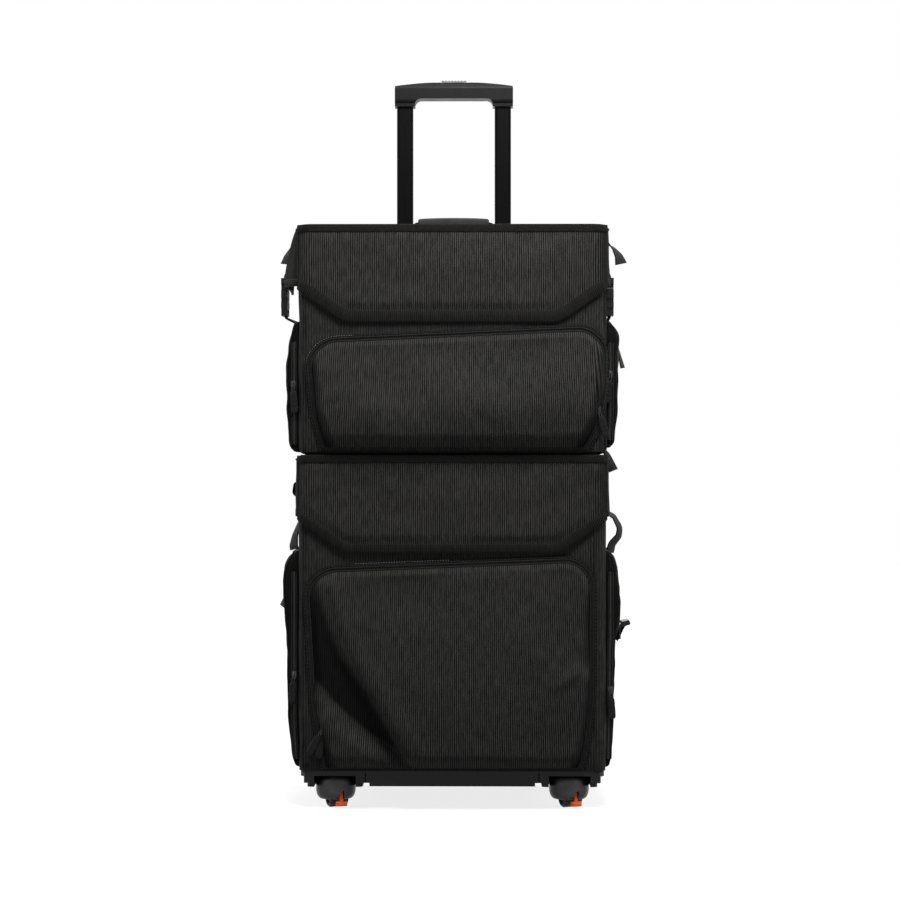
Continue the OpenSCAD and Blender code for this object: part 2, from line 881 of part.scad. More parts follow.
// How far a front pocket's side leans out per mm of height
function tape_lean(foot, h) =
    let (t = side_turn(pocket_half_w, foot, h, pocket_r)) (t[0] - foot) / t[1];

module front_slider(s, z0, h, foot, u) {
    x = foot + zip_w / 2 + 0.4 + u * tape_lean(foot, h);
    color("#4c4c4e") translate([s * x, front_y - zip_t - gap, z0 + u])
        zip_slider();
}

// SIDE POCKETS

// Outline of a side pocket from the front: sloped shoulder, drawn in by low at its foot
module side_outline(x1, z0, h, low) {
    intersection() {
        round_rect(half_w - 3 * side_r, x1, z0, z0 + h, side_r + 4);
        polygon([
            [0, z0 - cut], [x1 - low, z0 - cut], [x1, z0 + h * 0.42],
            [x1, z0 + h - side_slope], [half_w + 6, z0 + h + cut], [0, z0 + h + cut]
        ]);
    }
}

module side_pocket(s, z0, h, low) {
    x1 = half_w + side_bulge;
    r = side_r;
    mirror([s < 0 ? 1 : 0, 0, 0])
        intersection() {
            translate([0, 0, z0])
                linear_extrude(h)
                    difference() {
                        round_rect(half_w - 2 * r, x1, side_y, side_y + side_len, r);
                        translate([0, side_y - cut])
                            square([half_w, side_len + 2 * cut]);
                    }
            along_y(side_y - cut, side_len + 2 * cut)
                side_outline(x1, z0, h, low);
        }
}

// Short webbing tab on the outer face of a side pocket
module pocket_tab(s, z) {
    x1 = half_w + side_bulge;
    along_y(side_y + 60, webbing_w)
        band([[s * (x1 + 0.6), z + 18], [s * (x1 + 0.6), z + 9], [s * (x1 + 4.4), z]],
             webbing_t);
}

module lower_side_pocket_left() {
    color("#303033") {
        side_pocket(-1, lower_side_z, lower_side_h, side_draw);
        pocket_tab(-1, lower_side_z + lower_side_h - 60);
    }
}

module lower_side_pocket_right() {
    color("#303033") side_pocket(1, lower_side_z, lower_side_h, side_draw);
}

module upper_side_pocket_left() {
    color("#323235") side_pocket(-1, upper_side_z, upper_side_h, side_draw / 4);
}

module upper_side_pocket_right() {
    color("#323235") {
        side_pocket(1, upper_side_z, upper_side_h, side_draw / 4);
        pocket_tab(1, upper_side_z + upper_side_h - 47);
    }
}

// LIDS AND DROPS

// Lid panel with its side skirts; flare leans the left skirt out
module bag_lid(z1, hinge_y, flare) {
    h = drop_side_h;
    z0 = z1 - lid_t;
    slab(-skirt_x, skirt_x, front_y, hinge_y, z0, z1, corner_r);
    translate([-skirt_x, (front_y + hinge_y) / 2, z0])
        cube([2 * skirt_x, (hinge_y - front_y) / 2, lid_t]);
    along_y(front_y + corner_r, hinge_y - front_y - corner_r) {
        polygon([
            [half_w + gap, z1 - 1], [skirt_x, z1 - 1], [skirt_x, z1 - h], [half_w + gap, z1 - h]
        ]);
        polygon([
            [-half_w - gap, z1 - 1], [-skirt_x, z1 - 1],
            [-skirt_x - flare, z1 - h], [-half_w - gap - flare, z1 - h]
        ]);
    }
}

module upper_lid() {
    color("#29292b") bag_lid(upper_top, upper_hinge_y, skirt_flare);
}

module lower_lid() {
    color("#29292b") bag_lid(trolley_top, lower_hinge_y, 0);
}

// Outline of a drop, inset by b all round its free edge
module drop_shape(b) {
    x1 = half_w - 1;
    polygon([
        [-x1 + b, 0], [-x1 + b, -drop_side_h + b * 0.8], [-drop_flat + b * 0.3, -drop_h + b],
        [drop_flat - b * 0.3, -drop_h + b], [x1 - b, -drop_side_h + b * 0.8], [x1 - b, 0]
    ]);
}

// Hanging front flap with a raised binding
module drop_panel(z1) {
    translate([0, front_y - gap - drop_t, z1]) difference() {
        along_y(0, drop_t)
            drop_shape(0);
        along_y(-cut, cut + 0.8)
            translate([0, 0.1])
                drop_shape(binding_w);
    }
}

module upper_drop() {
    color("#262628") drop_panel(upper_top);
}

module lower_drop() {
    color("#262628") drop_panel(trolley_top);
}

// CARRY HANDLE

carry_y = upper_hinge_y + strip_d / 2;
slot_h = webbing_t + carry_lift + 2 * gap;

module carry_brackets() {
    color("#151516") for (s = [-1, 1])
        difference() {
            slab(s * carry_span / 2 - 9, s * carry_span / 2 + 9, carry_y - webbing_w / 2 - 4,
                 carry_y + webbing_w / 2 + 4, upper_top, upper_top + slot_h + 4, 3);
            translate([s * carry_span / 2 - 10, carry_y - webbing_w / 2 - gap, upper_top + 2])
                cube([20, webbing_w + 2 * gap, slot_h]);
        }
}

function strap_low() = upper_top + 2 + gap + webbing_t / 2;
function strap_high() = upper_top + carry_rise - 7;

module carry_strap() {
    x0 = carry_span / 2 + 8;
    x1 = carry_span / 2 - 9.5;
    x2 = x1 - carry_slope;
    color("#1e1e1f") along_y(carry_y - webbing_w / 2, webbing_w)
        band([
            [-x0, strap_low()], [-x1, strap_low()], [-x2, strap_high()],
            [x2, strap_high()], [x1, strap_low()], [x0, strap_low()]
        ], webbing_t);
}

module carry_grip() {
    l = carry_span / 2 - 12.5 - carry_slope;
    z = strap_high();
    color("#4b4c4f") difference() {
        rotate([90, 0, 90])
            translate([0, 0, -l])
                linear_extrude(2 * l)
                    round_rect(carry_y - webbing_w / 2 - 3, carry_y + webbing_w / 2 + 3,
                               z - 7, z + 7, 6.5);
        translate([-l - cut, carry_y - webbing_w / 2 - gap, z - webbing_t / 2 - gap])
            cube([2 * l + 2 * cut, webbing_w + 2 * gap, webbing_t + 2 * gap]);
    }
}

// Sleeve at the upper bag's back that slips over the handle
module trolley_sleeve() {
    x1 = leg_gap / 2 + tube_w / 2 + 26;
    y1 = back_y - 1.5;
    t = 3;
    color("#28282a") difference() {
        slab(-x1, x1, upper_back, y1, trolley_top + 55, upper_top - 16, 2);
        translate([-x1 + t, upper_back - cut, trolley_top + 55 - cut])
            cube([2 * x1 - 2 * t, y1 - upper_back - t + cut, upper_h]);
    }
}

// STRAPS AND BUCKLES

// Outer face of a skirt at height z
function skirt_face(s, z) = s > 0 ? skirt_x
    : -skirt_x - skirt_flare * (upper_top - 1 - z) / (drop_side_h - 1);

buckle_x = [-skirt_x - skirt_flare - buckle_t / 2 - gap, skirt_x + 5];

module upper_lid_straps() {
    color("#1c1c1d") for (i = [0, 1]) {
        s = 2 * i - 1;
        t = webbing_t;
        za = strap_end + strap_l;
        zb = strap_end;
        off = s * (t / 2 + 0.01) * (s > 0 ? 1 : norm([1, skirt_flare / (drop_side_h - 1)]));
        xa = skirt_face(s, za) + off;
        xb = skirt_face(s, zb) + off;
        along_y(strap_y, webbing_w) {
            band([[xa, za], [xb, zb], [buckle_x[i], socket_top + 3],
                  [buckle_x[i], socket_top]], t);
            band([[xa + s * 0.5, za - 3], [xa + s * 7, za - 8],
                  [xa + s * tail_l * 0.65, za - tail_l]], t);
        }
    }
}

// Buckle half seen from the side, z up, origin at its closed end's middle
module buckle_socket() {
    difference() {
        translate([-buckle_t / 2, 0, -buckle_l])
            cube([buckle_t, buckle_w, buckle_l]);
        // waist at both edges and the bar's slot
        for (y = [0, buckle_w])
            translate([-buckle_t, y, -buckle_l * 0.45])
                rotate([0, 90, 0])
                    cylinder(r = 4, h = 2 * buckle_t);
        translate([-buckle_t / 2 + 2, 4.5, -buckle_l - cut])
            cube([buckle_t - 4, buckle_w - 9, 14 + cut]);
    }
}

module buckle_plug() {
    difference() {
        union() {
            translate([-buckle_t / 2, 0, -11])
                cube([buckle_t, buckle_w, 7]);
            translate([-buckle_t / 2, 3, -buckle_l + 4])
                cube([buckle_t, buckle_w - 6, buckle_l - 4]);
        }
        translate([-buckle_t, 6, -buckle_l + 7])
            cube([2 * buckle_t, buckle_w - 12, 4.5]);
        for (y = [buckle_w * 0.36, buckle_w * 0.64])
            translate([-buckle_t, y - 1, -3])
                cube([2 * buckle_t, 2, 3 + cut]);
    }
}

module upper_buckle_sockets() {
    color("#0f0f10") for (i = [0, 1])
        translate([buckle_x[i], strap_y - 4, socket_top])
            buckle_socket();
}

module upper_buckle_plugs() {
    color("#0f0f10") for (i = [0, 1])
        translate([buckle_x[i], strap_y - 4, socket_top - buckle_l - gap])
            buckle_plug();
}

module upper_straps() {
    t = webbing_t;
    z0 = upper_side_z + upper_side_h + 3;
    z1 = socket_top - 2 * buckle_l + 4 - gap;
    color("#1c1c1d") {
        for (i = [0, 1]) {
            s = 2 * i - 1;
            along_y(strap_y, webbing_w)
                band([[s * (half_w + t / 2), z0 - 2], [s * (half_w + t / 2), z0 + 3],
                      [buckle_x[i] - s, z1 - 4], [buckle_x[i] - s, z1]], t);
        }
        // loose tail at the right bottom corner
        along_y(front_y + 20, webbing_w * 0.6)
            band([[half_w + t / 2, trolley_top + 7], [half_w + 5, trolley_top + 1],
                  [half_w + 10, trolley_top - 18]], t);
    }
}

module lower_strap_left() {
    t = webbing_t;
    x = half_w;
    z = lower_side_z + lower_side_h;
    color("#1c1c1d") along_y(strap_y, webbing_w) {
        band([[-x - t / 2, z + 48], [-x - t / 2, z + 40], [-x - 4.4, z + 26],
              [-x - 4.4, z + 10], [-x - t / 2, z + 1]], t);
    }
}

module lower_strap_right() {
    t = webbing_t;
    x = half_w;
    z = lower_side_z + lower_side_h;
    color("#1c1c1d") along_y(strap_y, webbing_w) {
        band([[x + t / 2, z + 50], [x + 6, z + 53], [x + 14, z + 49], [x + 22, z + 34],
              [x + 21, z + 25], [x + 12, z + 14], [x + t / 2, z + 1]], t);
    }
}

// Loose half buckle that sticks out from the right side pocket
module lower_buckle_right() {
    x1 = half_w + side_bulge;
    z = lower_side_z + lower_side_h - 86;
    color("#0f0f10") {
        along_y(strap_y, webbing_w)
            band([[x1 + webbing_t / 2, z - 14], [x1 + webbing_t / 2, z], [x1 + 5, z + 4]],
                 webbing_t);
        translate([x1 + 3.4, strap_y - 4, z + 1.4])
            rotate([0, -15, 0])
                along_y(0, buckle_w)
                    round_rect(0, 11, 0, 6, 2);
    }
}

base_tray();
caster_mounts();
lower_shell();
lower_liner();
lower_side_pocket_left();
lower_side_pocket_right();
lower_front_zip();
outer_tubes();
tube_foot();
handle_bezel();
lower_strap_left();
lower_strap_right();
lower_buckle_right();
lower_tube();
lower_tube_fittings();
upper_tube();
upper_tube_plugs();
grip_body();
grip_cover();
grip_screws();
release_button();
lock_rods();
upper_shell();
upper_liner();
upper_side_pocket_left();
upper_side_pocket_right();
upper_front_zip();
trolley_sleeve();
carry_brackets();
upper_straps();
upper_buckle_plugs();
carry_strap();
carry_grip();
upper_lid();
upper_lid_straps();
upper_buckle_sockets();
upper_drop();
lower_lid();
lower_drop();
upper_pocket();
lower_pocket();
side_slider(-1, upper_side_z + upper_side_h - 69);  // slider_upper_left
side_slider(1, upper_side_z + upper_side_h - 57);  // slider_upper_right
side_slider(-1, lower_side_z + lower_side_h - 140);  // slider_lower_left
side_slider(1, lower_side_z + lower_side_h - 158);  // slider_lower_right
front_slider(1, upper_pocket_z, upper_pocket_h, upper_foot_w, 44);  // slider_upper_front
front_slider(-1, lower_pocket_z, lower_pocket_h, lower_foot_w, 44);  // slider_lower_front
hood_node(-caster_x, caster_front_y);  // caster_hood_fl
hood_node(caster_x, caster_front_y);  // caster_hood_fr
hood_node(-caster_x, caster_back_y);  // caster_hood_bl
hood_node(caster_x, caster_back_y);  // caster_hood_br
wheels_node(-caster_x, caster_front_y);  // caster_wheels_fl
wheels_node(caster_x, caster_front_y);  // caster_wheels_fr
wheels_node(-caster_x, caster_back_y);  // caster_wheels_bl
wheels_node(caster_x, caster_back_y);  // caster_wheels_br
brake_node(-caster_x, caster_front_y);  // caster_brake_fl
brake_node(caster_x, caster_front_y);  // caster_brake_fr
brake_node(-caster_x, caster_back_y);  // caster_brake_bl
brake_node(caster_x, caster_back_y);  // caster_brake_br
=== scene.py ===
import math
import bpy
import numpy as np
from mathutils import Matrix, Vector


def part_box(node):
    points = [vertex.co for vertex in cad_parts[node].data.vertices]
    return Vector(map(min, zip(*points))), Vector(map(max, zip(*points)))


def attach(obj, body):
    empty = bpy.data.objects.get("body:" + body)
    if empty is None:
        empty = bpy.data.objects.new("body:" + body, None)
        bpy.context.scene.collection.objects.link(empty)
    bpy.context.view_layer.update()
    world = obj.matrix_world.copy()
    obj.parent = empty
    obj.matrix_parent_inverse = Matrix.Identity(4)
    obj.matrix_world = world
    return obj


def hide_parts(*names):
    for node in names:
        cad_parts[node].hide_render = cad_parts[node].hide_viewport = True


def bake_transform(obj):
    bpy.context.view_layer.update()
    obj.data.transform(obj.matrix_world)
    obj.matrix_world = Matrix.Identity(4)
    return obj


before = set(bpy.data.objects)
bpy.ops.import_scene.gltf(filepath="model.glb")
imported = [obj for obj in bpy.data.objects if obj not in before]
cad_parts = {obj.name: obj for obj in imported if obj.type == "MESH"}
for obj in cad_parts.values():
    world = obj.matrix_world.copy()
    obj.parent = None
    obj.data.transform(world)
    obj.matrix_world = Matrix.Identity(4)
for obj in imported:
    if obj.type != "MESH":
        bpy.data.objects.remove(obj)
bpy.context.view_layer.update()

# The case's planes, in metres: +X right, -Y front, +Z up.
HALF_W = .185
FRONT, BACK, UPPER_BACK = -.110, .140, .095
TRAY_TOP, LOWER_TOP, UPPER_TOP = .046, .425, .702
LID_T = .006
UPPER_HINGE, LOWER_HINGE = .050, .092
FRONT_OUT = np.array([0, -1, 0])


# Materials

class Look:
    """A procedural material on one Principled shader."""

    def __init__(self, name, slot=None, **values):
        self.slot = slot or name
        self.mat = bpy.data.materials.new(name)
        self.mat.use_nodes = True
        self.tree = self.mat.node_tree
        self.shader = self.tree.nodes["Principled BSDF"]
        for key, value in values.items():
            self.shader.inputs[key.replace("_", " ")].default_value = value

    def node(self, kind, out=0, settings=None, **inputs):
        n = self.tree.nodes.new("ShaderNode" + kind)
        for key, value in (settings or {}).items():
            setattr(n, key, value)
        for key, value in inputs.items():
            key = int(key[1:]) if key[0] == "i" and key[1:].isdigit() else key.replace("_", " ")
            if isinstance(value, bpy.types.NodeSocket):
                self.tree.links.new(value, n.inputs[key])
            else:
                n.inputs[key].default_value = value
        return n.outputs[out]

    def math(self, how, a, b=0.0):
        return self.node("Math", settings={"operation": how}, i0=a, i1=b)

    def coords(self, kind="UV"):
        n = self.tree.nodes.new("ShaderNodeTexCoord")
        return n.outputs[kind]

    def noise(self, at, size, detail=2.0, rough=.5):
        return self.node("TexNoise", Vector=at, Scale=1 / size, Detail=detail, Roughness=rough)

    def stretch(self, at, sx, sy, sz=1.0):
        return self.node("Mapping", Vector=at, Scale=(sx, sy, sz))

    def ramp(self, value, *stops):
        n = self.tree.nodes.new("ShaderNodeValToRGB")
        self.tree.links.new(value, n.inputs[0])
        ends = n.color_ramp.elements
        while len(ends) < len(stops):
            ends.new(.5)
        for end, (at, colour) in zip(ends, stops):
            end.position = at
            end.color = (*colour, 1) if len(colour) == 3 else colour
        return n.outputs[0]

    def range(self, value, low, high, start=0.0, stop=1.0):
        return self.node("MapRange", Value=value, From_Min=start, From_Max=stop, To_Min=low,
                         To_Max=high)

    def bump(self, height, distance, strength=1.0, under=None):
        n = self.tree.nodes.new("ShaderNodeBump")
        n.inputs["Strength"].default_value = strength
        n.inputs["Distance"].default_value = distance
        self.tree.links.new(height, n.inputs["Height"])
        if under is not None:
            self.tree.links.new(under, n.inputs["Normal"])
        return n.outputs[0]

    def wire(self, **sockets):
        for key, value in sockets.items():
            self.tree.links.new(value, self.shader.inputs[key.replace("_", " ")])
        return self


def grey(level, warm=0.0):
    """Linear grey, warmer or cooler by the second value."""
    return (level * (1 + warm), level, level * (1 - warm))


def ribbed(name, rib, cross, low, high, relief, slot=None, shaded=False, **values):
    """Woven cloth: ribs run along the UV's second axis, finer threads cross them. Where it is
    shaded, a mesh's shade values darken its base colour: painted shade on the cloth that lies tucked away."""
    m = Look(name, slot, **values)
    uv = m.coords()
    sway = m.noise(uv, .06, 2)
    split = m.tree.nodes.new("ShaderNodeSeparateXYZ")
    m.tree.links.new(uv, split.inputs[0])
    across = m.math("ADD", split.outputs[0], m.math("MULTIPLY", sway, rib * .7))
    ribs = m.math("COSINE", m.math("MULTIPLY", across, 2 * math.pi / rib))
    threads = m.math("COSINE", m.math("ADD", m.math("MULTIPLY", split.outputs[1],
                                                    2 * math.pi / cross),
                                      m.math("MULTIPLY", across, math.pi / rib)))
    yarn = m.noise(m.stretch(uv, .8 / rib, .16 / rib), 1.0, 3, .6)
    speck = m.noise(uv, cross * 1.3, 1)
    wear = m.noise(uv, .07, 3, .6)
    height = m.math("ADD", m.math("MULTIPLY", ribs, .5), m.math("MULTIPLY", threads, .2))
    shade = m.math("ADD", m.math("MULTIPLY", height, .72),
                   m.math("ADD", m.math("MULTIPLY", yarn, .80),
                          m.math("ADD", m.math("MULTIPLY", speck, .30),
                                 m.math("MULTIPLY", wear, .25))))
    middle = tuple(.45 * a + .55 * b for a, b in zip(high, low))
    colour = m.ramp(shade, (.32, low), (.78, middle), (1.0, high))
    # painted shade: the mesh's shade values scale the base colour down where its cloth lies in shade
    if shaded:
        painted_shade_values = m.node("Attribute", 2, {"attribute_name": "shade"})
        colour = m.node("VectorMath", settings={"operation": "SCALE"}, i0=colour, Scale=painted_shade_values)
    m.wire(Base_Color=colour,
           Roughness=m.range(wear, .66, .82, .3, .7),
           Normal=m.bump(height, relief, .8))
    return m


NYLON = ribbed("nylon", .0026, .0013, grey(.0020, .05), grey(.050, .03), .00030,
               Specular_IOR_Level=.04)
# PANEL and SIDE darken their base colour by each mesh's shade values: painted shade
PANEL = ribbed("panel_nylon", .0026, .0013, grey(.0020, .05), grey(.050, .03), .00030,
               slot="nylon", shaded=True, Specular_IOR_Level=.04)
WALL = ribbed("wall_nylon", .0019, .0012, grey(.0020, .05), grey(.046, .03), .00018,
              slot="nylon", Specular_IOR_Level=.04)
SIDE = ribbed("side_nylon", .0019, .0012, grey(.0020, .05), grey(.044, .03), .00018,
              slot="nylon", shaded=True, Specular_IOR_Level=.04)
CALICO = ribbed("lid_cloth", .0013, .0010, grey(.0014, .05), grey(.020, .05), .00010,
                slot="nylon", Specular_IOR_Level=.04)
BAND = ribbed("binding", .0024, .0012, grey(.0012, .05), grey(.0190, .05), .00014,
              slot="nylon", Specular_IOR_Level=.05)
PLAIN = ribbed("piping", .0012, .0009, grey(.0030, .04), grey(.032, .03), .00012,
               slot="nylon", Specular_IOR_Level=.06)
LINING = ribbed("lining", .0008, .0008, grey(.010), grey(.050), .00008,
                Specular_IOR_Level=.1)
WEBBING = ribbed("webbing", .0022, .0014, grey(.002), grey(.020), .0004,
                 Specular_IOR_Level=.08)
TAPE = ribbed("zip_tape", .0009, .0009, grey(.002), grey(.012), .0001,
              Specular_IOR_Level=.05)


def solid(name, colour, rough, grain=.0004, relief=.00002, slot=None, spread=.06, **values):
    """Moulded or metal surface: fine grain, handling marks, uneven gloss."""
    m = Look(name, slot, **values)
    at = m.coords("Object")
    fine = m.noise(at, grain, 2)
    marks = m.noise(at, .018, 4, .65)
    dark = tuple(c * .75 for c in colour)
    light = tuple(min(1, c * 1.3) for c in colour)
    m.wire(Base_Color=m.ramp(marks, (.3, dark), (.7, light)),
           Roughness=m.range(marks, rough - spread, rough + spread, .3, .7),
           Normal=m.bump(fine, relief, .6))
    return m


def drawn_metal(name, colour, rough, slot=None, **values):
    """Extruded metal with fine lines along its length."""
    m = Look(name, slot, **values)
    at = m.coords("Object")
    lines = m.noise(m.stretch(at, 1, 1, .012), .0006, 3, .6)
    marks = m.noise(at, .03, 4, .65)
    dark = tuple(c * .8 for c in colour)
    light = tuple(min(1, c * 1.25) for c in colour)
    m.wire(Base_Color=m.ramp(marks, (.3, dark), (.7, light)),
           Roughness=m.range(lines, rough - .08, rough + .1, .3, .7),
           Normal=m.bump(lines, .00003, .5))
    return m


def sheen_painted_plastic(name, colour, bright, rough, slot):
    """Moulded plastic with painted light in its base colour: painted shade at its turned edges and a painted
    sheen, a soft highlight, where it faces the view.
    """
    m = Look(name, slot, Specular_IOR_Level=.22)
    at = m.coords("Object")
    marks = m.noise(at, .010, 4, .65)
    # Layer Weight facing drives the base colour: painted highlight where the surface faces the view, painted shade
    # at its turned edges
    turned = m.node("LayerWeight", 1, Blend=.42)
    shade = m.math("ADD", turned, m.math("MULTIPLY", m.math("SUBTRACT", marks, .5), .25))
    m.wire(Base_Color=m.ramp(shade, (.02, bright), (.42, colour)),
           Roughness=m.range(marks, rough - .05, rough + .08, .3, .7),
           Normal=m.bump(m.noise(at, .0004, 2), .00002, .6))
    return m


BLACK = solid("black_plastic", grey(.008), .42, Specular_IOR_Level=.16)
# caster hoods: dark plastic with a painted highlight where they face the view
HOOD = sheen_painted_plastic("hood_plastic", grey(.0015), grey(.070), .30, "black_plastic")
BUCKLE = solid("buckle_plastic", grey(.008), .38, Specular_IOR_Level=.20)
GRIP = solid("grip_plastic", grey(.003), .34, slot="black_plastic", Specular_IOR_Level=.10)
GREY = solid("grey_plastic", grey(.16), .45)
ORANGE = solid("orange_plastic", (.72, .10, .012), .4, Specular_IOR_Level=.3)
RUBBER = solid("wheel_rubber", grey(.014), .6, relief=.00004, Specular_IOR_Level=.2)
FOAM = solid("grey_foam", grey(.034), .85, grain=.0012, relief=.0003,
             Specular_IOR_Level=.1)
DARK_METAL = drawn_metal("dark_aluminium", grey(.0018), .30, Metallic=.05,
                         Specular_IOR_Level=.05)
BARE_METAL = drawn_metal("bare_aluminium", grey(.55), .3, Metallic=1.0)
STEEL = drawn_metal("steel", grey(.5), .3, Metallic=1.0)
SLIDER = solid("slider_metal", grey(.035), .3, Metallic=.9)
THREAD = solid("thread", grey(.045), .7, slot="nylon", Specular_IOR_Level=.1)
# bright thread for painted glints along a run of stitches
GLINT_THREAD = solid("painted_glint_thread", grey(.20), .7, slot="nylon", Specular_IOR_Level=.1)
SEAM_THREAD = solid("seam_thread", grey(.013), .7, slot="nylon", Specular_IOR_Level=.05)
COIL = solid("zip_coil", grey(.006), .5, slot="zip_tape", Specular_IOR_Level=.15)
DULL = solid("zip_teeth", grey(.030), .45, slot="slider_metal", Specular_IOR_Level=.2)
PULLER = solid("rubber_puller", grey(.0045), .62, slot="wheel_rubber",
               Specular_IOR_Level=.12)


# Shapes

def face_uv(verts, faces):
    """UV in metres for every face corner, seen along the face's main axis."""
    corners = verts[faces]
    normal = np.cross(corners[:, 2] - corners[:, 0], corners[:, 3] - corners[:, 1])
    axis = np.abs(normal).argmax(1)
    pick = np.array([[1, 2], [0, 2], [0, 1]])[axis]
    rows = np.arange(len(faces))[:, None]
    return np.stack([corners[rows, np.arange(4), pick[:, :1]],
                     corners[rows, np.arange(4), pick[:, 1:]]], -1)


def piece(name, verts, faces, look, body, uv=None, replaces=(), sharp=50, ends=()):
    """One visible piece that rides on a CAD body, if one is given, and stands for the
    named CAD nodes."""
    verts = np.asarray(verts, float)
    faces = np.asarray(faces, int)
    if uv is None:
        uv = face_uv(verts, faces)
    me = bpy.data.meshes.new(name)
    me.from_pydata(verts.tolist(), [], faces.tolist() + [list(e) for e in ends])
    flat = uv.reshape(-1, 2)
    extra = sum(len(e) for e in ends)
    flat = np.concatenate([flat, np.zeros((extra, 2))]) if extra else flat
    me.uv_layers.new(name="UVMap").data.foreach_set("uv", flat.astype("f").ravel())
    me.materials.append(look.mat)
    me.shade_smooth()
    if sharp:
        me.set_sharp_from_angle(angle=math.radians(sharp))
    ob = bpy.data.objects.new(name, me)
    bpy.context.scene.collection.objects.link(ob)
    if body:
        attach(ob, body)
    if replaces:
        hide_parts(*replaces)
    return ob


def shaded(ob, values):
    """Painted shade of each point of a piece, which its material multiplies into the base colour; 1 where its
    cloth is in full light.
    """
    layer = ob.data.attributes.new("shade", "FLOAT", "POINT")
    layer.data.foreach_set("value", np.asarray(values, "f").ravel())


def grid_faces(m, n, wrap=False):
    i = np.arange(m - 1)[:, None]
    j = np.arange(n if wrap else n - 1)[None, :]
    k = (j + 1) % n
    return np.stack(np.broadcast_arrays(i * n + j, i * n + k, (i + 1) * n + k, (i + 1) * n + j),
                    -1).reshape(-1, 4)


def grid(name, points, look, body, wrap=False, uv=None, **more):
    """Piece through a grid of points; wrap joins its last column to its first."""
    m, n = points.shape[:2]
    if uv is not None:
        uv = np.stack([uv[:-1, :-1], uv[:-1, 1:], uv[1:, 1:], uv[1:, :-1]], 2).reshape(-1, 4, 2)
    return piece(name, points.reshape(-1, 3), grid_faces(m, n, wrap), look, body, uv, **more)


def along(points, axis=0, wrap=False):
    """Length along one axis of a grid or line of points."""
    step = np.linalg.norm(np.diff(points, axis=axis), axis=-1)
    zero = np.zeros_like(np.take(step, [0], axis))
    return np.concatenate([zero, np.cumsum(step, axis)], axis)


def resample(line, step):
    """Even points along a line; columns after the third go along with it."""
    line = np.asarray(line, float)
    at = along(line[:, :3])
    t = np.linspace(0, at[-1], max(2, int(round(at[-1] / step)) + 1))
    return np.stack([np.interp(t, at, line[:, k]) for k in range(line.shape[1])], 1)


def unit(v):
    return v / np.linalg.norm(v, axis=-1, keepdims=True)


def rounded(points, radii, step=.003):
    """Even line through the points, with its inner corners rounded."""
    points = [np.array(p, float) for p in points]
    out = [points[0]]
    for a, p, b, r in zip(points, points[1:], points[2:], radii):
        u, v = unit(a - p), unit(b - p)
        half = math.acos(np.clip(u @ v, -1, 1)) / 2
        if half > 1.55:
            continue
        centre = p + unit(u + v) * r / math.sin(half)
        for k in np.linspace(0, 1, 12):
            arm = (p + (u * (1 - k) + v * k) * r / math.tan(half)) - centre
            out.append(centre + unit(arm) * r)
    out.append(points[-1])
    return resample(out, step)


def sides(line, out):
    """Unit vector to the side of a line at each point, square to its way and to out."""
    way = np.gradient(line, axis=0)
    return unit(np.cross(np.broadcast_to(out, line.shape), way))


def sweep(name, line, profile, out, look, body, closed=True, crossed=False, **more):
    """Runs a profile of (side, out) values along a line; crossed turns its cloth's ribs."""
    line = np.asarray(line, float)
    side = sides(line, out)
    up = np.broadcast_to(out, line.shape)
    profile = np.asarray(profile, float)
    points = (line[:, None] + profile[None, :, :1] * side[:, None]
              + profile[None, :, 1:] * up[:, None])
    ring = np.vstack([profile, profile[:1]]) if closed else profile
    uv = np.stack(np.broadcast_arrays(along(ring)[None, :], along(line)[:, None]), -1)
    uv = uv[..., ::-1] if crossed else uv
    n = len(profile)
    last = (len(line) - 1) * n
    ends = [range(n - 1, -1, -1), range(last, last + n)] if closed else []
    return grid(name, points, look, body, closed, uv, ends=ends, **more)


def circle(r, n=10):
    a = np.arange(n) * 2 * math.pi / n
    return np.stack([r * np.cos(a), r * np.sin(a)], 1)


def flat_band(w, t, n=3):
    """Profile of webbing: a flat band with round edges."""
    a = np.linspace(-math.pi / 2, math.pi / 2, n + 2)
    right = np.stack([w / 2 - t / 2 + t / 2 * np.cos(a), t / 2 * np.sin(a)], 1)
    return np.vstack([right, -right])


def ripple(u, v, seed, size, waves=8):
    """Smooth random waves about that long, mostly between -1 and 1."""
    rng = np.random.default_rng(seed)
    total = 0
    for _ in range(waves):
        a, k, p = rng.uniform(0, 2 * math.pi), rng.uniform(.6, 1.5), rng.uniform(0, 2 * math.pi)
        total = total + np.sin(2 * math.pi * k / size * (u * math.cos(a) + v * math.sin(a)) + p)
    return total / waves ** .5


def fold(u, v, a, b, width, height):
    """Soft ridge, or dent if height is negative, along the segment from a to b."""
    a, b = np.array(a), np.array(b)
    d = b - a
    t = np.clip(((u - a[0]) * d[0] + (v - a[1]) * d[1]) / (d @ d), 0, 1)
    away = np.hypot(u - a[0] - t * d[0], v - a[1] - t * d[1])
    return height * np.exp(-(away / width) ** 2) * np.sin(math.pi * (.15 + .7 * t))


def smooth(x, a, b):
    t = np.clip((x - a) / (b - a), 0, 1)
    return t * t * (3 - 2 * t)


def distance(x, z, line):
    """Distance of each grid point to a line in the same plane."""
    a, b = line[:-1], line[1:]
    d = b - a
    best = np.full(x.shape, 1e9)
    for (ax, az), (dx, dz) in zip(a, d):
        t = np.clip(((x - ax) * dx + (z - az) * dz) / (dx * dx + dz * dz), 0, 1)
        best = np.minimum(best, np.hypot(x - ax - t * dx, z - az - t * dz))
    return best


